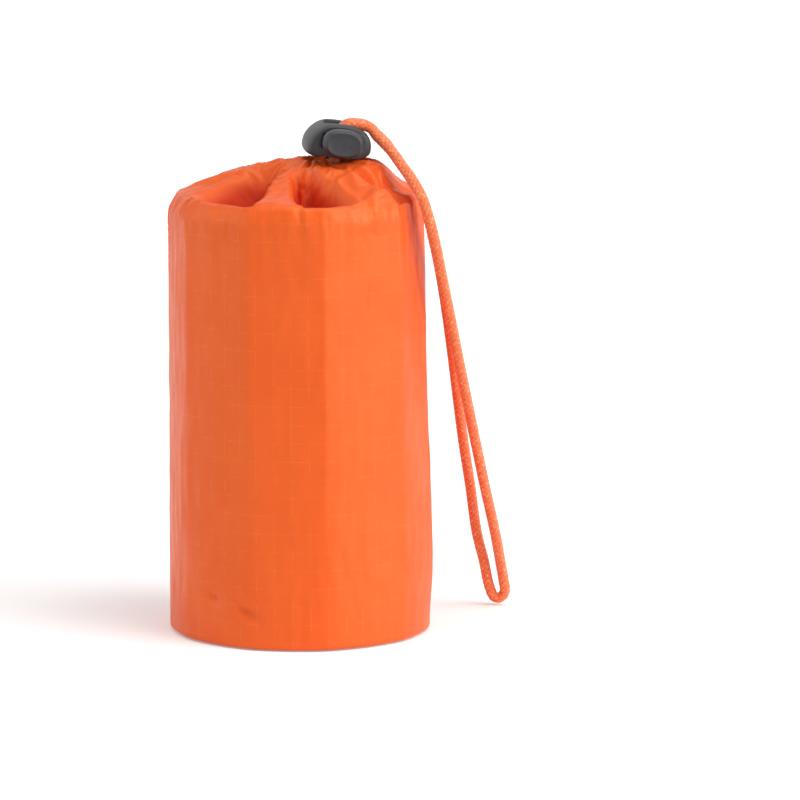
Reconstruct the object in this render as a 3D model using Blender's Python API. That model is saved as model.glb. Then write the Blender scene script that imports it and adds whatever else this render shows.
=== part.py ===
"""Emergency tube tent packed in its drawstring sack.

Metres, +Z up. The origin is the centre of the sack's base, on the floor. -Y is the front.
A rolled film tent fills a sewn cloth sack. A cord in the hem draws the mouth shut, and a
spring lock holds its two strands. The free end of the cord is a loop that leans on the
sack's shoulder and stands on the floor.
"""

import math

import bmesh
import bpy
from mathutils import Euler, Matrix, Vector

# Cloth and clearances
CLOTH = 0.0006  # coated ripstop with its seam bulk
GAP = 0.0003  # between pieces that touch
OVERRUN = 0.001  # how far a cutter runs past what it cuts

# Sack
SACK_RADIUS = 0.036  # outside, at the foot
RIM_TAPER = 0.0009
RIM_RADIUS = SACK_RADIUS - RIM_TAPER  # outside, where the wall turns into the crown
RIM_HEIGHT = 0.1205
RIM_SHIFT = -0.0008  # the packed sack leans a little to the left
SEAM_TURN = 0.0008  # middle radius of the cloth's turn at the foot seam
ALLOWANCE = 0.007  # cloth turned up inside the foot seam

# Mouth
MOUTH_X = 0.005  # the gather sits right of the middle
RING_RADIUS = 0.0045  # middle of the drawn-in cord
RING_RISE = 0.0077  # from the rim
RING_HEIGHT = RIM_HEIGHT + RING_RISE
HEM_RISE = 0.0014  # from the middle of the cord to where the crown meets the hem
HEM_REACH = 0.0027
CROWN_TOP = RING_HEIGHT + HEM_RISE
CROWN_REACH = RING_RADIUS + HEM_REACH

# Bindings inside the seams
TAPE = 0.0004
TAPE_LEG = 0.0037
SIDE_TAPE = 0.0005
SIDE_TAPE_WIDTH = 0.008
SIDE_TAPE_STOP = 0.004  # below the rim

# Rolled tent film
ROLL_RADIUS = RIM_RADIUS - CLOTH - SIDE_TAPE - 2 * GAP
ROLL_CORE = 0.004
ROLL_DROP = 0.0145  # from the rim down to the roll's top, clear of the crown's pockets
ROLL_HEIGHT = RIM_HEIGHT - ROLL_DROP
ROLL_LAYER = 0.0024  # several folds of film lie in each layer
ROLL_GAP = 0.0006

# Cord
CORD = 0.003
STRAND_PITCH = CORD + GAP

# Cord lock, in its own frame: X across, -Y out of the button, Z through the cord passage
LOCK_SHIFT = 0.0054  # to the right of the mouth's middle
LOCK_RISE = 0.0075  # above the drawn-in cord
LOCK_PLACE = (MOUTH_X + LOCK_SHIFT, 0.0, RING_HEIGHT + LOCK_RISE)
LOCK_TURN = math.radians(9)
LOCK_ROLL = math.radians(8)
LOCK_WIDTH = 0.0180
LOCK_THICK = 0.0096
LOCK_SAG = 0.0016  # the widest line lies below the middle
LOCK_FRONT = 0.0069  # front face, ahead of the passage's middle
LOCK_BACK = 0.013
PRESS = 0.002  # travel of the button
PASSAGE_WIDTH = 0.0076
SADDLE_FLOOR = 0.0026  # from the middle of the lock
SADDLE_MARGIN = 0.0004
STEM_WIDTH = 0.0100
STEM_THICK = 0.0034
STEM_BAR = 0.0025  # behind the passage
STEM_ROUND = 0.0006
BUTTON_WIDTH = 0.0112
BUTTON_THICK = 0.0078
BUTTON_DEPTH = 0.0032
SPRING_WIRE = 0.0005
SPRING_RADIUS = 0.0018
SPRING_TURNS = 4
SPRING_POCKET = 0.0024
SPRING_SEAT = 0.0021  # wall behind the spring

# Counts
AROUND = 72
FOOT_SEGMENTS = 48
ROLL_STEPS = 24
LOCK_SIDES = 28
SPRING_STEPS = 9
SIDE_TAPE_ROWS = 6
SIDE_TAPE_STEPS = 4
SHARP = math.radians(35)  # edges sharper than this are shaded as edges

# Gathered crown. Its folds turn by SWIRL degrees on the way from the rim to the hem.
SWIRL = 42
TURN_DROP = 0.005  # below the rim, where the wall starts to turn in
TURN_IN = 0.001
TURN_IN_LEFT = 0.0014  # more of it at the left
# Pockets, in degrees from +X at the rim: where one starts, where its full depth starts and
# stops, and where it ends. Then its lip above the rim, its depth under the lip, and the share
# of the way to the hem where its far wall ends.
POCKETS = (
    (-172, -130, -118, -109, 0.0007, 0.0125, 0.96),
    (-92, -83, -75, -56, 0.0017, 0.0137, 0.92),
    (36, 60, 66, 76, 0.0013, 0.0100, 0.92),
    (86, 94, 102, 122, 0.0007, 0.0115, 0.92),
    (130, 146, 150, 160, 0.0003, 0.0085, 0.90),
)
# Narrow valleys: direction, half width, depth, and the share where it is deepest. A
# negative depth is a ridge.
VALLEYS = (
    (-45, 9, -0.0042, 0.05),
    (-31, 6, 0.0036, 0.22),
    (18, 8, 0.0024, 0.35),
    (-172, 8, 0.0010, 0.40),
)
FRONT_FOLD = -92  # middle of the high folds that face the camera
FRONT_FADE = 55
CROWN_SHARES = (0, 0.035, 0.075, 0.13, 0.21, 0.32, 0.45, 0.58, 0.70, 0.81, 0.91, 1)
WALL_SHARES = (0.2, 0.5, 0.8)
TURN_SHARES = (0, 0.55)
FOOT_ANGLES = (225, 270, 315)  # the cloth's turn at the foot seam
HEM_ANGLES = (50, 90, 130, 170, 210, 250, 285)  # the cloth's turn round the cord
MOUTH_OPENING = 62  # half of the hem's open stretch, in degrees, at the right
CROWN_ROUND = 2.1  # exponent of the crown's rise from the rim

# Lock outline: place from front (0) to back (1), width and thickness as shares
LOCK_SHARES = (
    (0.00, 0.90, 0.90),
    (0.03, 0.945, 0.945),
    (0.14, 0.985, 0.985),
    (0.30, 1.00, 1.00),
    (0.50, 0.985, 0.985),
    (0.72, 0.94, 0.93),
    (0.87, 0.86, 0.84),
    (0.96, 0.73, 0.70),
    (1.00, 0.58, 0.55),
)
BUTTON_SHARES = (
    (0.00, 0.81, 0.81),
    (0.10, 0.89, 0.90),
    (0.38, 0.97, 0.98),
    (0.85, 1.00, 1.00),
    (1.00, 0.94, 0.92),
)
LOCK_PLUMP = 2.4  # exponent of the rounded section
# Flare of the passage: height as a share of half the lock's thickness, growth as a share
# of the cord's diameter
FLARE_SHARES = ((0.00, 0.00), (0.55, 0.00), (0.70, 0.10), (0.84, 0.32), (1.05, 0.80))
PLAIN_SHARES = ((0.00, 0.00), (0.80, 0.00))

# Free loop of the drawcord, from the lock over the shoulder to the floor and back.
# It starts and ends inside the lock. Chosen by hand, in metres.
LOOP_ROUTE = (
    (0.0112, -0.0015, 0.1356),
    (0.0116, -0.0015, 0.1369),
    (0.0120, -0.0014, 0.1380),
    (0.0128, -0.0012, 0.1391),
    (0.0139, -0.0011, 0.1397),
    (0.0153, -0.0010, 0.1397),
    (0.0168, -0.0010, 0.1396),
    (0.0183, -0.0010, 0.1393),
    (0.0199, -0.0011, 0.1385),
    (0.0212, -0.0022, 0.1368),
    (0.0229, -0.0038, 0.1353),
    (0.0255, -0.0069, 0.1329),
    (0.0282, -0.0106, 0.1297),
    (0.0309, -0.0142, 0.1264),
    (0.0332, -0.0172, 0.1226),
    (0.0349, -0.0176, 0.1180),
    (0.0369, -0.0149, 0.1100),
    (0.0391, -0.0108, 0.0985),
    (0.0416, -0.0060, 0.0855),
    (0.0444, -0.0002, 0.0705),
    (0.0475, 0.0068, 0.0545),
    (0.0509, 0.0146, 0.0370),
    (0.0540, 0.0214, 0.0220),
    (0.0556, 0.0254, 0.0126),
    (0.0565, 0.0274, 0.0072),
    (0.0569, 0.0284, 0.0044),
    (0.0562, 0.0289, 0.0026),
    (0.0549, 0.0290, 0.0019),
    (0.0536, 0.0290, 0.0026),
    (0.0528, 0.0289, 0.0044),
    (0.0520, 0.0286, 0.0072),
    (0.0509, 0.0274, 0.0130),
    (0.0488, 0.0246, 0.0221),
    (0.0470, 0.0198, 0.0358),
    (0.0450, 0.0148, 0.0494),
    (0.0433, 0.0092, 0.0634),
    (0.0418, 0.0040, 0.0764),
    (0.0402, -0.0014, 0.0888),
    (0.0384, -0.0070, 0.1006),
    (0.0363, -0.0118, 0.1112),
    (0.0348, -0.0139, 0.1176),
    (0.0336, -0.0138, 0.1214),
    (0.0316, -0.0114, 0.1245),
    (0.0293, -0.0080, 0.1276),
    (0.0266, -0.0042, 0.1309),
    (0.0240, -0.0008, 0.1342),
    (0.0220, 0.0008, 0.1361),
    (0.0205, 0.0017, 0.1374),
    (0.0193, 0.0020, 0.1386),
    (0.0177, 0.0023, 0.1393),
    (0.0163, 0.0024, 0.1396),
    (0.0148, 0.0023, 0.1397),
    (0.0134, 0.0021, 0.1396),
    (0.0122, 0.0020, 0.1390),
    (0.0115, 0.0018, 0.1380),
    (0.0111, 0.0018, 0.1369),
    (0.0107, 0.0017, 0.1356),
)
LOOP_POINTS = 78

# Held part of the cord, from the lock's passage down and once round the hem channel:
# places beside the mouth's middle as shares of the ring's radius, and the rise above the
# ring as a share of the cord's diameter
RISE_SHARES = ((1.04, -0.367, 0.98), (1.03, -0.42, 0.62), (0.92, -0.60, 0.24))
START_SHARES = (0.0, 0.75)  # places below the free loop's ends, as shares of the diameter
RING_TURN = 52  # where the cord lies down into the ring, in degrees from +X
RING_STEPS = 17
HELD_POINTS = 52

ORANGE = (0.90, 0.17, 0.045)
DEEP_ORANGE = (0.86, 0.13, 0.03)
CHARCOAL = (0.045, 0.048, 0.052)
STEEL = (0.62, 0.63, 0.65)
FILM = (0.92, 0.34, 0.10)


def clear_scene():
    for obj in list(bpy.data.objects):
        bpy.data.objects.remove(obj, do_unlink=True)


def material(name, colour, roughness, metallic=0.0):
    made = bpy.data.materials.new(name)
    made.use_nodes = True
    shader = made.node_tree.nodes["Principled BSDF"]
    shader.inputs["Base Color"].default_value = (*colour, 1)
    shader.inputs["Roughness"].default_value = roughness
    shader.inputs["Metallic"].default_value = metallic
    return made


def add_object(name, data, finish, parent=None):
    obj = bpy.data.objects.new(name, data)
    bpy.context.scene.collection.objects.link(obj)
    data.materials.append(finish)
    obj.parent = parent
    return obj


def mesh_node(name, points, faces, finish, parent=None):
    mesh = bpy.data.meshes.new(name)
    mesh.from_pydata(points, [], faces)
    shape = bmesh.new()
    shape.from_mesh(mesh)
    bmesh.ops.recalc_face_normals(shape, faces=shape.faces)
    shape.to_mesh(mesh)
    shape.free()
    mesh.shade_smooth()
    mesh.set_sharp_from_angle(angle=SHARP)
    return add_object(name, mesh, finish, parent)


def turned(radius, angle, height, shift=0.0):
    return Vector((shift + radius * math.cos(angle), radius * math.sin(angle), height))


def thick_sheet(grid, cells, thickness):
    """Points and faces of a sheet: grid holds its middle points, cells the quads it has."""
    normals = {}
    edges = {}
    for corners in cells:
        a, b, c, d = (grid[key] for key in corners)
        normal = (c - a).cross(d - b)
        for key in corners:
            normals[key] = normals.get(key, Vector()) + normal
        for start, end in zip(corners, corners[1:] + corners[:1]):
            edges[(start, end)] = True
    keys = list(normals)
    index = {key: place for place, key in enumerate(keys)}
    points = []
    for side in (0.5, -0.5):
        points += [grid[key] + normals[key].normalized() * side * thickness for key in keys]
    far = len(keys)
    faces = [[index[key] for key in corners] for corners in cells]
    faces += [[index[key] + far for key in reversed(corners)] for corners in cells]
    for start, end in edges:
        if (end, start) not in edges:
            faces.append([index[start], index[start] + far, index[end] + far, index[end]])
    return points, faces


def revolved(profile, segments, on_axis=False):
    """A solid turned about Z. A profile that starts and ends on the axis gets two poles."""
    rim = profile[1:-1] if on_axis else profile
    points = []
    for step in range(segments):
        angle = math.tau * step / segments
        points += [turned(radius, angle, height) for radius, height in rim]
    count = len(rim)
    faces = []
    for step in range(segments):
        here, after = step * count, (step + 1) % segments * count
        for row in range(count - 1 if on_axis else count):
            following = (row + 1) % count
            faces.append([here + row, after + row, after + following, here + following])
    if on_axis:
        low = len(points)
        points += [Vector((0, 0, profile[0][1])), Vector((0, 0, profile[-1][1]))]
        for step in range(segments):
            here, after = step * count, (step + 1) % segments * count
            faces.append([low, after, here])
            faces.append([low + 1, here + count - 1, after + count - 1])
    return points, faces


# Sack


def wall_radius(height):
    """Outside radius of the wall at a height."""
    return SACK_RADIUS + (RIM_RADIUS - SACK_RADIUS) * height / RIM_HEIGHT


def smooth(value):
    value = min(1, max(0, value))
    return value * value * (3 - 2 * value)


def apart(degrees, other):
    return (degrees - other + 180) % 360 - 180


def crown_rise(degrees, share):
    """Height of the crown without its pockets: 0 at the rim and 1 at the hem."""
    right = max(0, math.cos(math.radians(degrees)))
    front = smooth(1.3 - abs(apart(degrees, FRONT_FOLD)) / FRONT_FADE)
    shoulder = 1 - (1 - min(1, share / 0.08)) ** 2
    rise = 1 - (1 - share) ** CROWN_ROUND
    steep = 0.14 * shoulder + 0.20 * share + 0.66 * smooth((share - 0.06) / 0.58)
    rise += (steep - rise) * right
    return rise + (0.40 * shoulder + 0.60 * share**0.95 - rise) * front


def turn_in(angle, height):
    """How far the wall has turned in near the rim."""
    share = max(0, (height - RIM_HEIGHT) / TURN_DROP + 1)
    return (TURN_IN + TURN_IN_LEFT * max(0, -math.cos(angle))) * share**2


def crown_point(angle, share):
    """Middle of the crown's cloth, from the rim (0) to the hem (1)."""
    rim = turned(RIM_RADIUS - turn_in(angle, RIM_HEIGHT) - CLOTH / 2, angle, RIM_HEIGHT, RIM_SHIFT)
    hem = turned(CROWN_REACH, angle, CROWN_TOP, MOUTH_X)
    place = rim.lerp(hem, share)
    degrees = math.degrees(angle) + SWIRL * share**2
    place.z += (CROWN_TOP - RIM_HEIGHT) * crown_rise(degrees, share) - (place.z - RIM_HEIGHT)
    for middle, half_width, depth, deepest in VALLEYS:
        width = math.exp(-((apart(degrees, middle) / half_width) ** 2))
        power = math.log(0.5) / math.log(deepest)
        place.z -= depth * width * math.sin(math.pi * share**power)
    for opens, full, still, closes, lip, depth, end in POCKETS:
        at = opens + (degrees - opens) % 360
        width = smooth((at - opens) / (full - opens)) * smooth((closes - at) / (closes - still))
        way = min(1, max(0, (share - 0.035) / (end - 0.035)))
        floor = RIM_HEIGHT + lip - depth * math.sin(math.pi * way**0.75) ** 0.8
        width *= 1 - smooth((share - 0.62 * end) / (0.38 * end))
        place.z += (min(floor, place.z) - place.z) * width
    return place


def side_column(angle):
    """Middle points of the side panel from the foot seam's allowance up to the hem."""
    allowance = SACK_RADIUS - CLOTH / 2 - 2 * SEAM_TURN
    turn_height = GAP + CLOTH / 2 + SEAM_TURN
    column = [turned(allowance, angle, ALLOWANCE), turned(allowance, angle, turn_height)]
    for degrees in FOOT_ANGLES:
        across = SEAM_TURN * math.cos(math.radians(degrees))
        down = SEAM_TURN * math.sin(math.radians(degrees))
        column.append(turned(allowance + SEAM_TURN + across, angle, turn_height + down))
    column.append(turned(SACK_RADIUS - CLOTH / 2, angle, turn_height))
    for share in WALL_SHARES:
        height = RIM_HEIGHT * share
        shift = RIM_SHIFT * share
        column.append(turned(wall_radius(height) - CLOTH / 2, angle, height, shift))
    for share in TURN_SHARES:
        height = RIM_HEIGHT - TURN_DROP * (1 - share)
        radius = wall_radius(height) - turn_in(angle, height) - CLOTH / 2
        column.append(turned(radius, angle, height, RIM_SHIFT * height / RIM_HEIGHT))
    column += [crown_point(angle, share) for share in CROWN_SHARES]
    tube = CORD / 2 + GAP + CLOTH / 2
    for degrees in HEM_ANGLES:
        out = RING_RADIUS + tube * math.cos(math.radians(degrees))
        rise = RING_HEIGHT + tube * math.sin(math.radians(degrees))
        column.append(turned(out, angle, rise, MOUTH_X))
    return column


def make_side_panel(finish):
    """Wall, crown and hem are one cloth. The hem is open where the cord leaves it."""
    grid = {}
    for step in range(AROUND):
        for row, point in enumerate(side_column(math.tau * step / AROUND)):
            grid[(row, step)] = point
    rows = max(row for row, _ in grid)
    hem_row = rows - len(HEM_ANGLES)
    cells = []
    for step in range(AROUND):
        after = (step + 1) % AROUND
        middle = (360 * (step + 0.5) / AROUND + 180) % 360 - 180
        top = hem_row if abs(middle) < MOUTH_OPENING else rows
        for row in range(top):
            cells.append(((row, step), (row, after), (row + 1, after), (row + 1, step)))
    return mesh_node("side_panel", *thick_sheet(grid, cells, CLOTH), finish)


def base_edge():
    """Outside radius of the base panel's turned-up edge."""
    return SACK_RADIUS - CLOTH - 2 * SEAM_TURN - GAP


def make_base_panel(finish):
    edge = base_edge()
    corner = CLOTH / 2
    profile = [
        (0, 0),
        (edge - corner, 0),
        (edge, corner),
        (edge, ALLOWANCE),
        (edge - CLOTH, ALLOWANCE),
        (edge - CLOTH, CLOTH + corner),
        (edge - CLOTH - corner, CLOTH),
        (0, CLOTH),
    ]
    return mesh_node("base_panel", *revolved(profile, FOOT_SEGMENTS, True), finish)


def binding_top():
    return ALLOWANCE + GAP + TAPE


def make_base_seam_binding(finish):
    """Tape folded over the two turned-up edges of the foot seam."""
    outer = SACK_RADIUS - 2 * SEAM_TURN + GAP + TAPE
    inner = base_edge() - CLOTH - GAP - TAPE
    top = binding_top()
    profile = [
        (inner, top),
        (inner, top - TAPE_LEG),
        (inner + TAPE, top - TAPE_LEG),
        (inner + TAPE, top - TAPE),
        (outer - TAPE, top - TAPE),
        (outer - TAPE, top - TAPE_LEG),
        (outer, top - TAPE_LEG),
        (outer, top),
    ]
    return mesh_node("base_seam_binding", *revolved(profile, FOOT_SEGMENTS), finish)


def make_side_seam_binding(finish):
    """Tape along the inside of the side seam, at the back."""
    grid = {}
    low, high = binding_top() + GAP, RIM_HEIGHT - SIDE_TAPE_STOP
    rows, steps = SIDE_TAPE_ROWS, SIDE_TAPE_STEPS
    for row in range(rows + 1):
        height = low + (high - low) * row / rows
        radius = wall_radius(height) - CLOTH - GAP - SIDE_TAPE / 2
        shift = RIM_SHIFT * height / RIM_HEIGHT
        for step in range(steps + 1):
            angle = math.pi / 2 + (step / steps - 0.5) * SIDE_TAPE_WIDTH / radius
            grid[(row, step)] = turned(radius, angle, height, shift)
    cells = []
    for row in range(rows):
        for step in range(steps):
            cells.append(((row, step), (row, step + 1), (row + 1, step + 1), (row + 1, step)))
    return mesh_node("side_seam_binding", *thick_sheet(grid, cells, SIDE_TAPE), finish)


def make_tent_roll(finish):
    """The folded film, rolled up: one spiral that stands on the base inside the bindings."""
    pitch = ROLL_LAYER + ROLL_GAP
    first = ROLL_CORE + ROLL_LAYER / 2
    last = ROLL_RADIUS - ROLL_LAYER / 2
    count = round((last - first) / pitch * ROLL_STEPS)
    inside_binding = base_edge() - CLOTH - 2 * GAP - TAPE
    grid = {}
    for step in range(count + 1):
        angle = math.tau * step / ROLL_STEPS
        radius = first + (last - first) * step / count
        clear = radius + ROLL_LAYER / 2 < inside_binding
        low = CLOTH + GAP if clear else binding_top() + GAP
        grid[(0, step)] = turned(radius, angle, low)
        grid[(1, step)] = turned(radius, angle, ROLL_HEIGHT)
    cells = [((0, s), (0, s + 1), (1, s + 1), (1, s)) for s in range(count)]
    return mesh_node("tent_film_roll", *thick_sheet(grid, cells, ROLL_LAYER), finish)


# Cord lock


def half_window():
    """Half of the space that the two strands fill, along the lock."""
    return STRAND_PITCH / 2 + CORD / 2 + GAP


def rounded_ring(width, thickness, along, sides=LOCK_SIDES, sag=0.0):
    """A plump oval in the lock's section plane. With a sag its widest line lies lower."""
    ring = []
    for side in range(sides):
        angle = math.tau * side / sides
        across, up = math.cos(angle), math.sin(angle)
        power = 2 / LOCK_PLUMP
        ring.append(
            Vector(
                (
                    math.copysign(abs(across) ** power, across) * width / 2,
                    along,
                    math.copysign(abs(up) ** power, up) * thickness / 2
                    + sag * (abs(up) ** power - 1),
                )
            )
        )
    return ring


def lofted(rings):
    points = [point for ring in rings for point in ring]
    count = len(rings[0])
    faces = [list(range(count)), list(range(len(points) - count, len(points)))]
    for row in range(len(rings) - 1):
        for side in range(count):
            after = (side + 1) % count
            here, above = row * count, (row + 1) * count
            faces.append([here + side, here + after, above + after, above + side])
    return points, faces


def rounded_box(name, low, high, rounding, frame):
    """A helper box in the lock's frame with rounded edges, used to add or to cut."""
    shape = bmesh.new()
    size = Vector(high) - Vector(low)
    middle = (Vector(high) + Vector(low)) / 2
    place = Matrix.Translation(middle) @ Matrix.Diagonal((*size, 1))
    bmesh.ops.create_cube(shape, size=1, matrix=place)
    bmesh.ops.bevel(
        shape, geom=shape.edges[:], offset=rounding, segments=2, profile=0.5, affect="EDGES"
    )
    mesh = bpy.data.meshes.new(name)
    shape.to_mesh(mesh)
    shape.free()
    return helper(name, mesh, frame)


def helper(name, mesh, frame):
    obj = bpy.data.objects.new(name, mesh)
    bpy.context.scene.collection.objects.link(obj)
    obj.parent = frame
    obj.hide_render = True
    obj.display_type = "WIRE"
    return obj


def passage_cutter(name, front, back, frame, flared):
    """The cord's way through the lock: an oval prism along Z, flared at both faces."""
    middle = (front + back) / 2
    length = back - front
    half = LOCK_THICK / 2
    shares = FLARE_SHARES if flared else PLAIN_SHARES
    heights = [(-share * half, grow * CORD) for share, grow in reversed(shares[1:])]
    heights += [(share * half, grow * CORD) for share, grow in shares[1:]]
    rings = []
    for height, grow in heights:
        ring = rounded_ring(PASSAGE_WIDTH + 2 * grow, length + grow, 0)
        rings.append([Vector((p.x, p.z + middle, height)) for p in ring])
    points, faces = lofted(rings)
    mesh = bpy.data.meshes.new(name)
    mesh.from_pydata(points, [], faces)
    shape = bmesh.new()
    shape.from_mesh(mesh)
    bmesh.ops.recalc_face_normals(shape, faces=shape.faces)
    shape.to_mesh(mesh)
    shape.free()
    return helper(name, mesh, frame)


def spring_pocket(name, frame):
    """A round pocket for the spring, along the lock."""
    shape = bmesh.new()
    start = half_window() + STEM_BAR
    stop = LOCK_BACK - SPRING_SEAT
    bmesh.ops.create_cone(
        shape,
        cap_ends=True,
        segments=LOCK_SIDES,
        radius1=SPRING_POCKET,
        radius2=SPRING_POCKET,
        depth=stop - start,
        matrix=Matrix.Translation((0, (start + stop) / 2, 0)) @ Matrix.Rotation(math.pi / 2, 4, "X"),
    )
    mesh = bpy.data.meshes.new(name)
    shape.to_mesh(mesh)
    shape.free()
    return helper(name, mesh, frame)


def cut(obj, other, operation="DIFFERENCE"):
    modifier = obj.modifiers.new(other.name, "BOOLEAN")
    modifier.operation = operation
    modifier.solver = "EXACT"
    modifier.object = other


def share_rings(shares, width, thickness, front, back, sag=0.0):
    rings = []
    for place, wide, thick in shares:
        along = front + (back - front) * place
        rings.append(rounded_ring(width * wide, thickness * thick, along, sag=sag))
    return rings


def make_lock_body(frame, finish):
    rings = share_rings(
        LOCK_SHARES, LOCK_WIDTH, LOCK_THICK, -LOCK_FRONT, LOCK_BACK, sag=LOCK_SAG
    )
    body = mesh_node("lock_body", *lofted(rings), finish, frame)
    half = half_window()
    cavity_wide = STEM_WIDTH / 2 + GAP
    cavity_high = STEM_THICK / 2 + GAP
    cavity_end = half + STEM_BAR + PRESS + GAP
    cut(
        body,
        rounded_box(
            "stem_cavity",
            (-cavity_wide, -LOCK_FRONT - OVERRUN, -cavity_high),
            (cavity_wide, cavity_end, cavity_high),
            STEM_ROUND,
            frame,
        ),
    )
    cut(body, passage_cutter("body_passage", -half, half + PRESS, frame, True))
    cut(body, spring_pocket("spring_pocket", frame))
    for side, name in ((1, "upper_saddle"), (-1, "lower_saddle")):
        near, far = side * SADDLE_FLOOR, side * (LOCK_THICK / 2 + OVERRUN)
        cut(
            body,
            rounded_box(
                name,
                (-LOCK_WIDTH, -half - SADDLE_MARGIN, min(near, far)),
                (LOCK_WIDTH, half + PRESS + SADDLE_MARGIN, max(near, far)),
                STEM_ROUND,
                frame,
            ),
        )
    return body


def make_lock_plunger(frame, finish):
    """Button and stem in one piece. The stem's passage lies ahead of the body's."""
    half = half_window()
    back = -LOCK_FRONT - PRESS - GAP
    rings = share_rings(BUTTON_SHARES, BUTTON_WIDTH, BUTTON_THICK, back - BUTTON_DEPTH, back)
    plunger = mesh_node("lock_plunger", *lofted(rings), finish, frame)
    stem = rounded_box(
        "stem",
        (-STEM_WIDTH / 2, back - BUTTON_DEPTH / 2, -STEM_THICK / 2),
        (STEM_WIDTH / 2, half + STEM_BAR, STEM_THICK / 2),
        STEM_ROUND,
        frame,
    )
    cut(plunger, stem, "UNION")
    cut(plunger, passage_cutter("stem_passage", -half - PRESS, half, frame, False))
    return plunger


def tube_curve(name, points, diameter, resolution, finish, parent=None):
    curve = bpy.data.curves.new(name, "CURVE")
    curve.dimensions = "3D"
    curve.bevel_depth = diameter / 2
    curve.bevel_resolution = resolution
    curve.use_fill_caps = True
    spline = curve.splines.new("POLY")
    spline.points.add(len(points) - 1)
    for place, point in zip(spline.points, points):
        place.co = (*point, 1)
    return add_object(name, curve, finish, parent)


def make_lock_spring(frame, finish):
    start = half_window() + STEM_BAR + GAP + SPRING_WIRE / 2
    stop = LOCK_BACK - SPRING_SEAT - GAP - SPRING_WIRE / 2
    count = SPRING_TURNS * SPRING_STEPS
    points = []
    for step in range(count + 1):
        angle = math.tau * step / SPRING_STEPS
        along = start + (stop - start) * step / count
        points.append(
            Vector((SPRING_RADIUS * math.cos(angle), along, SPRING_RADIUS * math.sin(angle)))
        )
    return tube_curve("lock_spring", points, SPRING_WIRE, 1, finish, frame)


# Cord


def smooth_route(route, count):
    """Points at equal steps of a Catmull-Rom curve's own parameter through a route."""
    ends = [route[0] * 2 - route[1], *route, route[-1] * 2 - route[-2]]
    points = []
    for step in range(count):
        place = step * (len(route) - 1) / (count - 1)
        first = min(int(place), len(route) - 2)
        t = place - first
        a, b, c, d = ends[first : first + 4]
        points.append(
            (
                b * 2
                + (c - a) * t
                + (a * 2 - b * 5 + c * 4 - d) * t**2
                + (b * 3 - a - c * 3 + d) * t**3
            )
            / 2
        )
    return points


def length_of(points):
    return sum((b - a).length for a, b in zip(points, points[1:]))


def make_cord_loop(finish):
    points = smooth_route([Vector(place) for place in LOOP_ROUTE], LOOP_POINTS)
    print(f"free loop of the cord: {length_of(points):.4f} m")
    return tube_curve("drawcord_loop", points, CORD, 2, finish)


def make_drawcord(finish):
    """The held cord: in at the lock, once round the hem channel, and out beside itself."""
    start, end = Vector(LOOP_ROUTE[0]), Vector(LOOP_ROUTE[-1])
    along = (Vector(LOOP_ROUTE[1]) - start).normalized()
    back_along = (Vector(LOOP_ROUTE[-2]) - end).normalized()
    front = [start - along * (GAP + share * CORD) for share in START_SHARES]
    back = [end - back_along * (GAP + share * CORD) for share in START_SHARES]
    for out, aside, rise in RISE_SHARES:
        height = RING_HEIGHT + rise * CORD
        front.append(Vector((MOUTH_X + out * RING_RADIUS, aside * RING_RADIUS, height)))
        back.append(Vector((MOUTH_X + out * RING_RADIUS, -aside * RING_RADIUS, height)))
    sweep = 360 - 2 * RING_TURN
    ring = []
    for step in range(RING_STEPS + 1):
        angle = math.radians(-RING_TURN - sweep * step / RING_STEPS)
        ring.append(turned(RING_RADIUS, angle, RING_HEIGHT, MOUTH_X))
    points = smooth_route([*front, *ring, *reversed(back)], HELD_POINTS)
    print(f"held cord: {length_of(points):.4f} m")
    return tube_curve("drawcord", points, CORD, 2, finish)


def main():
    clear_scene()
    cloth = material("ripstop", ORANGE, 0.6)
    make_side_panel(cloth)
    make_base_panel(cloth)
    tape = material("binding_tape", DEEP_ORANGE, 0.7)
    make_base_seam_binding(tape)
    make_side_seam_binding(tape)
    make_tent_roll(material("tent_film", FILM, 0.35))

    frame = bpy.data.objects.new("lock_frame", None)
    bpy.context.scene.collection.objects.link(frame)
    frame.location = LOCK_PLACE
    frame.rotation_euler = Euler((0, LOCK_ROLL, LOCK_TURN), "XYZ")
    bpy.context.view_layer.update()
    plastic = material("lock_plastic", CHARCOAL, 0.45)
    make_lock_body(frame, plastic)
    make_lock_plunger(frame, material("button_plastic", CHARCOAL, 0.4))
    make_lock_spring(frame, material("spring_steel", STEEL, 0.3, 1.0))

    cord = material("cord", DEEP_ORANGE, 0.75)
    make_drawcord(cord)
    make_cord_loop(cord)


main()
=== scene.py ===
import math

import bmesh
import bpy
from mathutils import Euler, Matrix, Vector, noise


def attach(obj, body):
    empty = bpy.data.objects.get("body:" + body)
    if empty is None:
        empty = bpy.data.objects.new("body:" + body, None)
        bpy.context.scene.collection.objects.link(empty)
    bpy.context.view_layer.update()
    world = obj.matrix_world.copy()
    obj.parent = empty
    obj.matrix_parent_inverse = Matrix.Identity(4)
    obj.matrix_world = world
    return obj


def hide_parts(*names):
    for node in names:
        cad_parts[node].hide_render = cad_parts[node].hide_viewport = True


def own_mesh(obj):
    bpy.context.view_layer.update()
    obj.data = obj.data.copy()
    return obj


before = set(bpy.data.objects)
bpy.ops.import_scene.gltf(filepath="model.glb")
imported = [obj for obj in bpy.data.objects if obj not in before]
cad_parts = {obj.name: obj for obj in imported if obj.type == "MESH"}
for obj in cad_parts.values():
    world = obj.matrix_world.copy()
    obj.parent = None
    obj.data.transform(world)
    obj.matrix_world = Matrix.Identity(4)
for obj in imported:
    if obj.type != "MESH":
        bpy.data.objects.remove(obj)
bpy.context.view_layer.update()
print("frame loaded:", len(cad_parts), "nodes")

# Helpers that several pieces use

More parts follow.
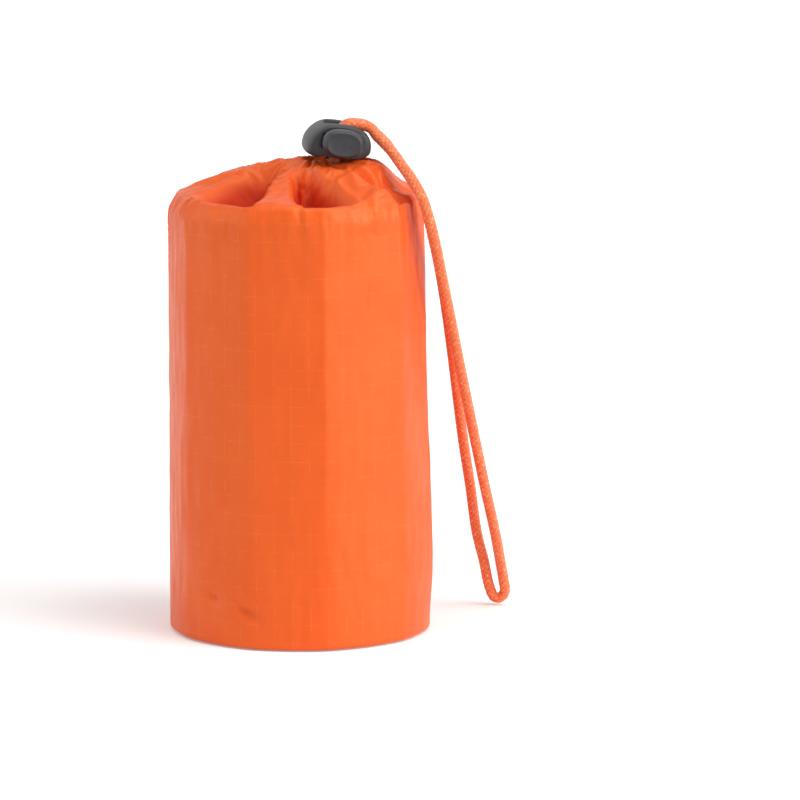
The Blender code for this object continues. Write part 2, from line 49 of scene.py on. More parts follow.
def deselectAll():
    if bpy.context.mode != "OBJECT":
        bpy.ops.object.mode_set(mode="OBJECT")
    bpy.ops.object.select_all(action="DESELECT")


def pick(obj):
    deselectAll()
    obj.select_set(True)
    bpy.context.view_layer.objects.active = obj


def startEdit(action="SELECT"):
    bpy.ops.object.mode_set(mode="EDIT")
    bpy.ops.mesh.select_all(action=action)


def endEdit():
    bpy.ops.object.mode_set(mode="OBJECT")


def settle(obj):
    # leaves the object at the origin, with its place in its mesh
    pick(obj)
    bpy.ops.object.transform_apply(location=True, rotation=True, scale=True)
    return obj


def applyAll(obj):
    pick(obj)
    for modifier in list(obj.modifiers):
        bpy.ops.object.modifier_apply(modifier=modifier.name)


def addObject(name, data):
    obj = bpy.data.objects.new(name, data)
    bpy.context.scene.collection.objects.link(obj)
    return obj


def meshFrom(name, points, faces, uvs=None, floats=None):
    # uvs has one pair for each face corner, floats maps an attribute's name to one value per point
    data = bpy.data.meshes.new(name)
    data.from_pydata(points, [], faces)
    if uvs:
        layer = data.uv_layers.new(name="UVMap")
        for loop, place in zip(layer.data, uvs):
            loop.uv = place
    for key, values in (floats or {}).items():
        attribute = data.attributes.new(key, "FLOAT", "POINT")
        attribute.data.foreach_set("value", values)
    data.shade_smooth()
    return addObject(name, data)


def giveThickness(obj, thickness):
    # inwards from the faces as they were drawn
    solid = obj.modifiers.new("thickness", "SOLIDIFY")
    solid.thickness = thickness
    solid.offset = -1
    applyAll(obj)


def finishPiece(obj, body, material, nodes=()):
    obj.data.materials.clear()
    obj.data.materials.append(material)
    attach(obj, body)
    if nodes:
        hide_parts(*nodes)


def smooth(value):
    value = min(1, max(0, value))
    return value * value * (3 - 2 * value)


def smoothRoute(route, count):
    # points along a Catmull-Rom curve, at equal steps of its own parameter
    ends = [route[0] * 2 - route[1], *route, route[-1] * 2 - route[-2]]
    points = []
    for step in range(count):
        place = step * (len(route) - 1) / (count - 1)
        first = min(int(place), len(route) - 2)
        t = place - first
        a, b, c, d = ends[first : first + 4]
        bend = (a * 2 - b * 5 + c * 4 - d) * t**2 + (b * 3 - a - c * 3 + d) * t**3
        points.append((b * 2 + (c - a) * t + bend) / 2)
    return points


def evenly(points, count=None, step=None):
    # the same line again, with its points at equal distances, and its length. It takes how
    # many steps there are, or about how long each is. A fourth component comes along.
    lengths = [0.0]
    for a, b in zip(points, points[1:]):
        lengths.append(lengths[-1] + (b.xyz - a.xyz).length)
    count = count or max(2, round(lengths[-1] / step))
    made, place = [], 0
    for index in range(count + 1):
        want = lengths[-1] * index / count
        while place < len(points) - 2 and lengths[place + 1] < want:
            place += 1
        span = lengths[place + 1] - lengths[place]
        made.append(points[place].lerp(points[place + 1], (want - lengths[place]) / span))
    return made, lengths[-1]


def turnedPoint(out, angle, height, shift=0.0):
    # a point at a distance from the upright axis, which lies shift along X
    return Vector((shift + out * math.cos(angle), out * math.sin(angle), height))


def roundNoise(scale, angle, height):
    # noise that closes on itself round the axis
    return noise.noise(turnedPoint(scale, angle, height))


def arcPoints(centre, radius, degrees):
    # pairs of distance and height along an arc, where 0 degrees points outwards and 90 up
    turns = [math.radians(turn) for turn in degrees]
    return [(centre[0] + radius * math.cos(t), centre[1] + radius * math.sin(t)) for t in turns]


def ringQuads(rows, columns):
    # the faces between rings of points that follow each other in one list
    for row in range(rows - 1):
        for column in range(columns):
            after = (column + 1) % columns
            here, above = row * columns, (row + 1) * columns
            yield row, column, (here + column, here + after, above + after, above + column)


def corners(left, right, low, high):
    return [(left, low), (right, low), (right, high), (left, high)]


# Node helpers

def addNode(tree, kind, values=None, **settings):
    node = tree.nodes.new(kind)
    for key, value in settings.items():
        setattr(node, key, value)
    for key, value in (values or {}).items():
        node.inputs[key].default_value = value
    return node


def join(tree, start, end):
    tree.links.new(start, end)


def feed(tree, value, socket):
    # value is a colour, a number or another node's output
    if isinstance(value, tuple):
        socket.default_value = (*value, 1)
    elif isinstance(value, (int, float)):
        socket.default_value = value
    else:
        join(tree, value, socket)


def mathNode(tree, operation, first, second=None):
    node = addNode(tree, "ShaderNodeMath", operation=operation)
    feed(tree, first, node.inputs[0])
    if second is not None:
        feed(tree, second, node.inputs[1])
    return node.outputs[0]


def mixColour(tree, factor, first, second):
    node = addNode(tree, "ShaderNodeMix", data_type="RGBA")
    for place, value in ((0, factor), (6, first), (7, second)):
        feed(tree, value, node.inputs[place])
    return node.outputs[2]


def ramp(tree, value, low, high, toLow=0.0, toHigh=1.0):
    values = {"From Min": low, "From Max": high, "To Min": toLow, "To Max": toHigh}
    node = addNode(tree, "ShaderNodeMapRange", values, interpolation_type="SMOOTHSTEP")
    join(tree, value, node.inputs["Value"])
    return node.outputs["Result"]


def noiseOn(tree, vector, scale, detail, roughness=0.5):
    node = addNode(tree, "ShaderNodeTexNoise", {"Detail": detail, "Roughness": roughness})
    join(tree, vector, node.inputs["Vector"])
    feed(tree, scale, node.inputs["Scale"])
    return node.outputs["Fac"]


def onObject(tree):
    return addNode(tree, "ShaderNodeTexCoord").outputs["Object"]


def onCloth(tree):
    return addNode(tree, "ShaderNodeUVMap", uv_map="UVMap").outputs[0]


def newGroup(name, inputs, outputs):
    group = bpy.data.node_groups.new(name, "ShaderNodeTree")
    for kind, key, value in inputs:
        socket = group.interface.new_socket(key, in_out="INPUT", socket_type=kind)
        if value is not None:
            socket.default_value = value
    for key in outputs:
        group.interface.new_socket(key, in_out="OUTPUT", socket_type="NodeSocketFloat")
    start = group.nodes.new("NodeGroupInput")
    end = group.nodes.new("NodeGroupOutput")
    return group, start.outputs, end.inputs


def useGroup(tree, group, place, values=None):
    node = addNode(tree, "ShaderNodeGroup", values, node_tree=group)
    join(tree, place, node.inputs["Place"])
    return node.outputs


def newMaterial(name, roughness, **sockets):
    material = bpy.data.materials.new(name)
    material.use_nodes = True
    tree = material.node_tree
    shader = tree.nodes["Principled BSDF"]
    shader.inputs["Roughness"].default_value = roughness
    for key, value in sockets.items():
        shader.inputs[key.replace("_", " ")].default_value = value
    return material, tree, shader.inputs


def bumpFrom(tree, height, strength, distance, shader):
    node = addNode(tree, "ShaderNodeBump", {"Strength": strength, "Distance": distance})
    join(tree, height, node.inputs["Height"])
    join(tree, node.outputs["Normal"], shader["Normal"])


# Camera: azimuth 0, looking along +Y and down a little

view = {
    "aim": (0.0275, 0, 0.0633),
    "elevation": 10,
    "distance": 2.0,
    "halfWidth": 0.1099,  # seen to each side of the aim
    "sensor": 36,
    "clip": (0.05, 50),
}


def makeCamera():
    aim = Vector(view["aim"])
    tilt = math.radians(view["elevation"])
    data = bpy.data.cameras.new("camera")
    camera = addObject("camera", data)
    camera.location = aim + Vector((0, -math.cos(tilt), math.sin(tilt))) * view["distance"]
    camera.rotation_euler = Euler((math.pi / 2 - tilt, 0, 0))
    data.sensor_width = view["sensor"]
    data.lens = view["sensor"] / 2 * view["distance"] / view["halfWidth"]
    data.clip_start, data.clip_end = view["clip"]
    bpy.context.scene.camera = camera


makeCamera()
print("camera placed")

# Drawcord: a braided cord. Its free loop leaves the lock, goes over the sack's shoulder,
# stands on the floor and comes back. The held part goes once round the hem channel.

cord = {
    "diameter": 0.003,
    "gap": 0.0003,
    "carriers": 12,  # strands that cross each other, in both directions together
    "lay": 0.0094,  # length of one whole turn of a strand
    "sides": 40,
    "step": 0.00042,
    "freeSamples": 5000,  # points of the curve, before they are spaced evenly
    "heldSamples": 1500,
    "ripple": 0.00016,  # depth of the crevices between strands
    "ringRadius": 0.0045,
    "ringHeight": 0.1282,
    "ringPoints": 18,
    "mouth": 0.005,  # how far the gathered mouth lies to the right of the sack's middle
    "ringTurn": 52,  # degrees to each side of +X that the held ring leaves open
    "endShares": (0, 0.75),  # first points of the held part, in diameters from the free part
    # next ones: away from the mouth and aside in ring radii, and up in diameters
    "leadShares": ((1.04, -0.367, 0.98), (1.03, -0.42, 0.62), (0.92, -0.60, 0.24)),
    "raisedColours": ((0.95, 0.19, 0.05), (1.0, 0.38, 0.15)),
    # painted shade: the crevices between the strands are painted darker
    "creviceShadeColour": (0.78, 0.11, 0.028),
}

loopRoute = [
    (0.0112, -0.0015, 0.1356),
    (0.0116, -0.0015, 0.1369),
    (0.0120, -0.0014, 0.1380),
    (0.0128, -0.0012, 0.1391),
    (0.0139, -0.0011, 0.1397),
    (0.0153, -0.0010, 0.1397),
    (0.0168, -0.0010, 0.1396),
    (0.0183, -0.0010, 0.1393),
    (0.0199, -0.0011, 0.1385),
    (0.0212, -0.0022, 0.1368),
    (0.0229, -0.0038, 0.1353),
    (0.0255, -0.0069, 0.1329),
    (0.0282, -0.0106, 0.1297),
    (0.0309, -0.0142, 0.1264),
    (0.0332, -0.0172, 0.1226),
    (0.0349, -0.0176, 0.1180),
    (0.0369, -0.0149, 0.1100),
    (0.0391, -0.0108, 0.0985),
    (0.0416, -0.0060, 0.0855),
    (0.0444, -0.0002, 0.0705),
    (0.0475, 0.0068, 0.0545),
    (0.0509, 0.0146, 0.0370),
    (0.0540, 0.0214, 0.0220),
    (0.0556, 0.0254, 0.0126),
    (0.0565, 0.0274, 0.0072),
    (0.0569, 0.0284, 0.0044),
    (0.0562, 0.0289, 0.0026),
    (0.0549, 0.0290, 0.0019),
    (0.0536, 0.0290, 0.0026),
    (0.0528, 0.0289, 0.0044),
    (0.0520, 0.0286, 0.0072),
    (0.0509, 0.0274, 0.0130),
    (0.0488, 0.0246, 0.0221),
    (0.0470, 0.0198, 0.0358),
    (0.0450, 0.0148, 0.0494),
    (0.0433, 0.0092, 0.0634),
    (0.0418, 0.0040, 0.0764),
    (0.0402, -0.0014, 0.0888),
    (0.0384, -0.0070, 0.1006),
    (0.0363, -0.0118, 0.1112),
    (0.0348, -0.0139, 0.1176),
    (0.0336, -0.0138, 0.1214),
    (0.0316, -0.0114, 0.1245),
    (0.0293, -0.0080, 0.1276),
    (0.0266, -0.0042, 0.1309),
    (0.0240, -0.0008, 0.1342),
    (0.0220, 0.0008, 0.1361),
    (0.0205, 0.0017, 0.1374),
    (0.0193, 0.0020, 0.1386),
    (0.0177, 0.0023, 0.1393),
    (0.0163, 0.0024, 0.1396),
    (0.0148, 0.0023, 0.1397),
    (0.0134, 0.0021, 0.1396),
    (0.0122, 0.0020, 0.1390),
    (0.0115, 0.0018, 0.1380),
    (0.0111, 0.0018, 0.1369),
    (0.0107, 0.0017, 0.1356),
]
loopRoute = [Vector(place) for place in loopRoute]


def braidHeight(around, along):
    # Two families of strands wind opposite ways, and each strand goes over one and under one.
    # around and along are in turns; the answer is 0 in a crevice and 1 on a strand's crown.
    half = cord["carriers"] / 2
    right = (around - along) * half
    left = (around + along) * half
    rightCrown = math.cos((right % 1 - 0.5) * math.pi)
    leftCrown = math.cos((left % 1 - 0.5) * math.pi)
    rightOver = 0.5 + 0.5 * math.cos(math.pi * (left - math.floor(right) - 0.5))
    return max(rightCrown * rightOver, leftCrown * (1 - rightOver))


def braidedTube(name, route, samples):
    # a closed tube along the route, with its strands raised
    points, length = evenly(smoothRoute(route, samples), step=cord["step"])
    sides, radius = cord["sides"], cord["diameter"] / 2
    tangent = (points[1] - points[0]).normalized()
    across = tangent.orthogonal().normalized()
    vertices, heights, faces, uvs = [], [], [], []
    step = length / (len(points) - 1)
    for place, point in enumerate(points):
        ahead = points[min(place + 1, len(points) - 1)] - points[max(place - 1, 0)]
        turn = tangent.rotation_difference(ahead.normalized())
        across.rotate(turn)
        tangent = ahead.normalized()
        across = (across - tangent * across.dot(tangent)).normalized()
        side = tangent.cross(across)
        for index in range(sides):
            around = index / sides
            height = braidHeight(around, place * step / cord["lay"])
            reach = radius - cord["ripple"] * (1 - height)
            angle = around * math.tau
            vertices.append(point + (across * math.cos(angle) + side * math.sin(angle)) * reach)
            heights.append(height)
    for row, column, quad in ringQuads(len(points), sides):
        faces.append(quad)
        uvs += corners(column / sides, (column + 1) / sides, row * step, (row + 1) * step)
    last = (len(points) - 1) * sides
    faces += [tuple(reversed(range(sides))), tuple(range(last, last + sides))]
    uvs += [(index / sides, 0) for index in reversed(range(sides))]
    uvs += [(index / sides, length) for index in range(sides)]
    obj = meshFrom(name, vertices, faces, uvs, {"strand": heights})
    return obj, points, length


def heldRoute():
    radius, height, mouth = cord["ringRadius"], cord["ringHeight"], cord["mouth"]
    leads = []
    for end, near, flip in ((loopRoute[0], loopRoute[1], 1), (loopRoute[-1], loopRoute[-2], -1)):
        along = (near - end).normalized()
        lead = [end - along * (cord["gap"] + share * cord["diameter"]) for share in cord["endShares"]]
        for out, aside, rise in cord["leadShares"]:
            level = height + rise * cord["diameter"]
            lead.append(Vector((mouth + out * radius, flip * aside * radius, level)))
        leads.append(lead)
    ring = []
    for step in range(cord["ringPoints"]):
        share = step / (cord["ringPoints"] - 1)
        angle = math.radians(-cord["ringTurn"] - (360 - 2 * cord["ringTurn"]) * share)
        ring.append(turnedPoint(radius, angle, height, mouth))
    return [*leads[0], *ring, *reversed(leads[1])]


# Ripstop cloth, coated: a fine plain weave with a thicker thread every few millimetres.
# The UV map is in metres, across and up the cloth as it was cut.

cloth = {
    "colour": (0.84, 0.112, 0.016),
    "deepColour": (0.76, 0.084, 0.012),
    "deepShare": 0.30,
    "paleColour": (0.98, 0.25, 0.07),
    "paleShare": 0.24,
    # painted shade: the crown's deep pockets are painted a dark crimson, standing in for their shadow and
    # the light bounced inside them
    "pocketShadeColour": (0.62, 0.030, 0.012),
    "pocketShadeShare": 0.85,
    "pocketShadeDepth": (1.0, 7.0),  # from where to where the pockets' painted shade comes in, in mm of depth
    "gridPitch": 0.0050,
    "gridWidth": 0.00018,
    "gridScale": 260,  # of the patches where the grid shows
    "gridLeast": 0.12,
    "threadPitch": 0.00042,
    "rough": (0.36, 0.46),
    "pocketRough": 0.4,
    "specularTint": (1, 0.70, 0.36, 1),
    "relief": 0.00005,
}


def makeRipstopGroup():
    inputs = [
        ("NodeSocketVector", "Place", None),
        ("NodeSocketFloat", "Grid pitch", cloth["gridPitch"]),
        ("NodeSocketFloat", "Grid width", cloth["gridWidth"]),
        ("NodeSocketFloat", "Thread pitch", cloth["threadPitch"]),
    ]
    group, given, made = newGroup("ripstop weave", inputs, ("Grid", "Weave", "Cloud"))
    parts = addNode(group, "ShaderNodeSeparateXYZ")
    join(group, given["Place"], parts.inputs[0])
    halfPitch = mathNode(group, "MULTIPLY", given["Grid pitch"], 0.5)
    turn = mathNode(group, "DIVIDE", math.tau, given["Thread pitch"])
    lines, waves = [], []
    for place in (parts.outputs["X"], parts.outputs["Y"]):
        away = mathNode(group, "PINGPONG", place, halfPitch)
        share = mathNode(group, "DIVIDE", away, given["Grid width"])
        lines.append(ramp(group, share, 1.0, 0.2))
        waves.append(mathNode(group, "SINE", mathNode(group, "MULTIPLY", place, turn)))
    patches = noiseOn(group, given["Place"], cloth["gridScale"], 2)
    broken = ramp(group, patches, 0.46, 0.60, cloth["gridLeast"], 1.0)
    grid = mathNode(group, "MULTIPLY", mathNode(group, "MAXIMUM", *lines), broken)
    weave = mathNode(group, "MULTIPLY", mathNode(group, "MULTIPLY", *waves), 0.5)
    join(group, grid, made["Grid"])
    join(group, weave, made["Weave"])
    join(group, noiseOn(group, given["Place"], 55, 3, 0.55), made["Cloud"])
    return group


ripstopGroup = makeRipstopGroup()


def makeRipstopMaterial():
    material, tree, shader = newMaterial(
        "coated ripstop", 0.4, IOR=1.35, Specular_IOR_Level=1.0, Specular_Tint=cloth["specularTint"]
    )
    weave = useGroup(tree, ripstopGroup, onCloth(tree))
    cloud = ramp(tree, weave["Cloud"], 0.35, 0.65)
    deep = mathNode(tree, "MULTIPLY", cloud, cloth["deepShare"])
    colour = mixColour(tree, deep, cloth["colour"], cloth["deepColour"])
    pale = mathNode(tree, "MULTIPLY", weave["Grid"], cloth["paleShare"])
    colour = mixColour(tree, pale, colour, cloth["paleColour"])
    # painted shade: deep in the crown's pockets the colour turns dark crimson, and the cloth is also
    # rougher there
    fold = addNode(tree, "ShaderNodeAttribute", attribute_name="fold")
    pocketShadeMask = ramp(tree, fold.outputs["Fac"], *cloth["pocketShadeDepth"], 0.0, cloth["pocketShadeShare"])
    join(tree, mixColour(tree, pocketShadeMask, colour, cloth["pocketShadeColour"]), shader["Base Color"])
    rough = ramp(tree, weave["Cloud"], 0.3, 0.7, *cloth["rough"])
    rough = mathNode(tree, "ADD", rough, mathNode(tree, "MULTIPLY", pocketShadeMask, cloth["pocketRough"]))
    join(tree, rough, shader["Roughness"])
    height = mathNode(tree, "ADD", weave["Grid"], mathNode(tree, "MULTIPLY", weave["Weave"], 0.5))
    bumpFrom(tree, height, 0.22, cloth["relief"], shader)
    return material


ripstop = makeRipstopMaterial()
print("ripstop mixed")


def makeCordMaterial():
    material, tree, shader = newMaterial("braided cord", 0.62, Sheen_Weight=0.35, Sheen_Roughness=0.5)
    strand = addNode(tree, "ShaderNodeAttribute", attribute_name="strand")
    # painted shade: where the strands sink into crevices the colour turns darker
    depth = ramp(tree, strand.outputs["Fac"], 0.15, 0.75)
    place = onObject(tree)
    fleck = ramp(tree, noiseOn(tree, place, 900, 2), 0.45, 0.7)
    raised = mixColour(tree, fleck, *cord["raisedColours"])
    join(tree, mixColour(tree, depth, cord["creviceShadeColour"], raised), shader["Base Color"])
    bumpFrom(tree, noiseOn(tree, place, 4200, 2), 0.25, 0.00008, shader)
    return material


def makeCord():
    finish = makeCordMaterial()
    loop, path, length = braidedTube("drawcordLoop", loopRoute, cord["freeSamples"])
    finishPiece(loop, "packed_tent", finish, ["drawcord_loop"])
    held, _, heldLength = braidedTube("drawcordHeld", heldRoute(), cord["heldSamples"])
    finishPiece(held, "packed_tent", finish, ["drawcord"])
    print(f"cord braided: free {length:.4f} m, held {heldLength:.4f} m")


makeCord()

# Cord lock, modelled in its own frame: X across, -Y out of the button, Z through the cord's way.
# The body and the button are plump ovals. The stem slides in the body, and a spring pushes it out.

lock = {
    "place": (0.0104, 0, 0.1357),
    "roll": 8,  # degrees about Y
    "turn": 9,  # degrees about Z
    "width": 0.0180,
    "thick": 0.0096,
    "sag": 0.0016,  # the widest line lies below the middle
    "droop": 0.0013,  # how much lower the left end hangs
    "droopFrom": 0.003,
    "droopOver": 0.006,
    "front": -0.0069,
    "back": 0.013,
    "plump": 2.4,  # exponent of the oval, where 2 is an ellipse
    "sides": 64,
    "press": 0.002,
    "gap": 0.0003,
    "overrun": 0.001,  # how far a cut goes past the face
    "window": 0.00345,  # half of the room for the two strands, along the lock
    "passage": 0.0076,
    "saddleFloor": 0.0026,
    "saddleEnds": (-0.00385, 0.00585),
    "saddleStarts": (-0.0034, -0.0060),  # at the left, of the upper and the lower one
    "stemWide": 0.0100,
    "stemThick": 0.0034,
    "stemEnd": 0.00595,
    "round": 0.0006,
    "bodyEdge": 0.00028,
    "buttonEdge": 0.00016,
    "buttonWide": 0.0112,
    "buttonThick": 0.0078,
    "buttonFront": -0.0124,
    "buttonBack": -0.0092,
    "dish": 0.00014,  # how much the button's face sinks at each of its two insets
    "dishInsets": (0.00045, 0.0012),
    "springRadius": 0.0018,
    "springWire": 0.0005,
    "springTurns": 4,
    "springSteps": 44,  # in one turn
    "springClose": 0.07,  # how much closer its turns lie at both ends
    "springFrom": 0.0065,
    "springTo": 0.01035,
    "springPocket": 0.0024,
    "springSeat": 0.0109,
}

# darker and lighter colour, roughness from and to, and the grain's own values
plastics = {
    "lock plastic": ((0.019, 0.020, 0.022), (0.026, 0.027, 0.030), (0.42, 0.56), {"Grain scale": 5200}),
    "button plastic": ((0.020, 0.021, 0.024), (0.026, 0.027, 0.031), (0.38, 0.52), {"Grain scale": 6100}),
}
steelColours = ((0.52, 0.53, 0.55), (0.66, 0.67, 0.69))
steelGrain = {"Grain scale": 3000, "Flow scale": 900}

# Outline from front (0) to back (1): place, then width and thickness as shares of the whole
bodyOutline = [
    (0.000, 0.880, 0.875),
    (0.008, 0.905, 0.902),
    (0.030, 0.940, 0.938),
    (0.080, 0.967, 0.966),
    (0.150, 0.986, 0.986),
    (0.230, 0.997, 0.997),
    (0.300, 1.000, 1.000),
    (0.400, 0.997, 0.997),
    (0.500, 0.987, 0.986),
    (0.610, 0.968, 0.963),
    (0.720, 0.940, 0.932),
    (0.800, 0.908, 0.893),
    (0.870, 0.862, 0.843),
    (0.930, 0.795, 0.770),
    (0.970, 0.715, 0.685),
    (1.000, 0.585, 0.555),
]
buttonOutline = [
    (0.00, 0.800, 0.800),
    (0.03, 0.830, 0.832),
    (0.10, 0.880, 0.890),
    (0.22, 0.928, 0.940),
    (0.38, 0.968, 0.975),
    (0.60, 0.992, 0.994),
    (0.85, 1.000, 1.000),
    (0.95, 0.985, 0.980),
    (1.00, 0.945, 0.930),
]
# The cord's way opens out: share of half the thickness, and growth in cord diameters
flare = [(0.50, 0.0), (0.62, 0.04), (0.72, 0.12), (0.82, 0.27), (0.92, 0.48), (1.06, 0.82)]


def plumpLoft(name, outline, wide, thick, start, end, upright=False, sag=0.0):
    # a plump oval face, extruded from place to place along Y, or along Z when upright, and
    # scaled at each. With a sag, its widest line lies lower.
    def resize(width, height, centre):
        size = (width, height, 1) if upright else (width, 1, height)
        bpy.ops.transform.resize(value=size, center_override=centre)

    deselectAll()
    turn = (0 if upright else math.pi / 2, 0, 0)
    bpy.ops.mesh.primitive_circle_add(
        vertices=lock["sides"], radius=0.5, fill_type="NGON", location=(0, 0, 0), rotation=turn
    )
    obj = bpy.context.object
    obj.name = obj.data.name = name
    settle(obj)
    power = 2 / lock["plump"]
    high = 1 if upright else 2
    for vertex in obj.data.vertices:
        for axis in (0, high):
            share = 2 * vertex.co[axis]
            vertex.co[axis] = math.copysign(abs(share) ** power, share) / 2
        vertex.co[high] *= 1 + math.copysign(2 * sag / thick, vertex.co[high])
    startEdit()
    along = Vector((0, 0, 1)) if upright else Vector((0, 1, 0))
    place, width, height = outline[0]
    here = along * (start + (end - start) * place)
    bpy.ops.transform.translate(value=here)
    resize(wide * width, thick * height, here)
    for place, nextWidth, nextHeight in outline[1:]:
        there = along * (start + (end - start) * place)
        bpy.ops.mesh.extrude_region_move(TRANSFORM_OT_translate={"value": there - here})
        resize(nextWidth / width, nextHeight / height, there)
        here, width, height = there, nextWidth, nextHeight
    bpy.ops.mesh.select_all(action="SELECT")
    bpy.ops.transform.translate(value=(0, 0, -sag))
    bpy.ops.mesh.normals_make_consistent(inside=False)
    endEdit()
    return obj


def roundedBox(name, low, high):
    deselectAll()
    middle = [(a + b) / 2 for a, b in zip(low, high)]
    bpy.ops.mesh.primitive_cube_add(size=1, location=middle, scale=[b - a for a, b in zip(low, high)])
    obj = bpy.context.object
    obj.name = obj.data.name = name
    settle(obj)
    soft = obj.modifiers.new("soft edges", "BEVEL")
    soft.width = lock["round"]
    soft.segments = 4
    applyAll(obj)
    return obj


def passageTool(name, front, back, ways):
    # the cord's way: an oval hole, as wide along the thickness as the ways say
    half = lock["thick"] / 2
    heights = [(-share * half, grow) for share, grow in reversed(ways)]
    heights += [(share * half, grow) for share, grow in ways]
    reach = heights[-1][0]
    outline = []
    for height, grow in heights:
        wide = 1 + 2 * grow * cord["diameter"] / lock["passage"]
        long = 1 + grow * cord["diameter"] / (back - front)
        outline.append(((height + reach) / (2 * reach), wide, long))
    tool = plumpLoft(name, outline, lock["passage"], back - front, -reach, reach, upright=True)
    tool.location.y = (front + back) / 2
    return settle(tool)


def shapeWith(obj, tool, operation="DIFFERENCE"):
    modifier = obj.modifiers.new(tool.name, "BOOLEAN")
    modifier.operation = operation
    modifier.solver = "EXACT"
    modifier.object = tool
    applyAll(obj)
    bpy.data.objects.remove(tool)


def softenEdges(obj, width):
    pick(obj)
    startEdit()
    bpy.ops.mesh.remove_doubles(threshold=0.00001)
    bpy.ops.mesh.dissolve_limited(angle_limit=math.radians(1.2))
    endEdit()
    soft = obj.modifiers.new("soft edges", "BEVEL")
    soft.width = width
    soft.segments = 3
    soft.limit_method = "ANGLE"
    soft.angle_limit = math.radians(42)
    applyAll(obj)
    pick(obj)
    bpy.ops.object.shade_smooth_by_angle(angle=math.radians(38))


def intoPlace(obj):
    turn = Euler((0, math.radians(lock["roll"]), math.radians(lock["turn"])), "XYZ")
    obj.matrix_world = Matrix.Translation(lock["place"]) @ turn.to_matrix().to_4x4()
    return settle(obj)


def makeLockBody():
    size = (lock["width"], lock["thick"], lock["front"], lock["back"])
    body = plumpLoft("lockBody", bodyOutline, *size, sag=lock["sag"])
    for vertex in body.data.vertices:
        vertex.co.z -= lock["droop"] * smooth((-vertex.co.x - lock["droopFrom"]) / lock["droopOver"])
    gap, window, press = lock["gap"], lock["window"], lock["press"]
    wide, high = lock["stemWide"] / 2 + gap, lock["stemThick"] / 2 + gap
    front, end = lock["front"] - lock["overrun"], lock["stemEnd"] + press + gap
    shapeWith(body, roundedBox("stemRoom", (-wide, front, -high), (wide, end, high)))
    shapeWith(body, passageTool("bodyPassage", -window, window + press, flare))
    deselectAll()
    start, stop = lock["stemEnd"], lock["springSeat"]
    bpy.ops.mesh.primitive_cylinder_add(
        vertices=48,
        radius=lock["springPocket"],
        depth=stop - start,
        location=(0, (start + stop) / 2, 0),
        rotation=(math.pi / 2, 0, 0),
    )
    shapeWith(body, settle(bpy.context.object))
    near, far = lock["saddleEnds"]
    floor, over = lock["saddleFloor"], lock["thick"] / 2 + lock["overrun"]
    upper, lower = lock["saddleStarts"]
    shapeWith(body, roundedBox("upperSaddle", (upper, near, floor), (lock["width"], far, over)))
    shapeWith(body, roundedBox("lowerSaddle", (lower, near, -over), (lock["width"], far, -floor)))
    softenEdges(body, lock["bodyEdge"])
    return intoPlace(body)


def makeLockPlunger():
    front, back = lock["buttonFront"], lock["buttonBack"]
    button = plumpLoft("lockPlunger", buttonOutline, lock["buttonWide"], lock["buttonThick"], front, back)
    startEdit("DESELECT")
    endEdit()
    for face in button.data.polygons:
        face.select = face.normal.y < -0.99 and abs(face.center.y - front) < 0.00001
    bpy.ops.object.mode_set(mode="EDIT")
    bpy.ops.mesh.select_mode(type="FACE")
    for inset in lock["dishInsets"]:
        bpy.ops.mesh.inset(thickness=inset)
        bpy.ops.transform.translate(value=(0, lock["dish"], 0))
    endEdit()
    wide, high = lock["stemWide"] / 2, lock["stemThick"] / 2
    stem = roundedBox("stem", (-wide, (front + back) / 2, -high), (wide, lock["stemEnd"], high))
    shapeWith(button, stem, "UNION")
    window, straight = lock["window"], [flare[0], (flare[-1][0], 0.0)]
    shapeWith(button, passageTool("stemPassage", -window - lock["press"], window, straight))
    softenEdges(button, lock["buttonEdge"])
    return intoPlace(button)


def makeLockSpring():
    turns, radius = lock["springTurns"], lock["springRadius"]
    steps = lock["springSteps"] * turns
    curve = bpy.data.curves.new("lockSpring", "CURVE")
    curve.dimensions = "3D"
    curve.bevel_depth = lock["springWire"] / 2
    curve.bevel_resolution = 3
    curve.use_fill_caps = True
    spline = curve.splines.new("POLY")
    spline.points.add(steps)
    for step in range(steps + 1):
        t = step / steps
        angle = math.tau * turns * t
        share = t - lock["springClose"] * math.sin(math.tau * t)
        along = lock["springFrom"] + (lock["springTo"] - lock["springFrom"]) * share
        spline.points[step].co = (radius * math.cos(angle), along, radius * math.sin(angle), 1)
    obj = addObject("lockSpring", curve)
    pick(obj)
    bpy.ops.object.convert(target="MESH")
    bpy.ops.object.shade_smooth()
    return intoPlace(obj)


def makeGrainGroup():
    inputs = [
        ("NodeSocketVector", "Place", None),
        ("NodeSocketFloat", "Grain scale", 5200),
        ("NodeSocketFloat", "Flow scale", 420),
    ]
    group, given, made = newGroup("moulded grain", inputs, ("Grain", "Flow"))
    for key, scale, detail in (("Grain", "Grain scale", 3), ("Flow", "Flow scale", 2)):
        join(group, noiseOn(group, given["Place"], given[scale], detail, 0.6), made[key])
    return group


grainGroup = makeGrainGroup()


def makeGrained(name, dark, light, rough, grainValues, relief=0.00004, **sockets):
    material, tree, shader = newMaterial(name, rough[0], **sockets)
    grain = useGroup(tree, grainGroup, onObject(tree), grainValues)
    flow = ramp(tree, grain["Flow"], 0.35, 0.65)
    join(tree, mixColour(tree, flow, dark, light), shader["Base Color"])
    join(tree, ramp(tree, grain["Grain"], 0.3, 0.7, *rough), shader["Roughness"])
    if relief:
        bumpFrom(tree, grain["Grain"], 0.22, relief, shader)
    return material


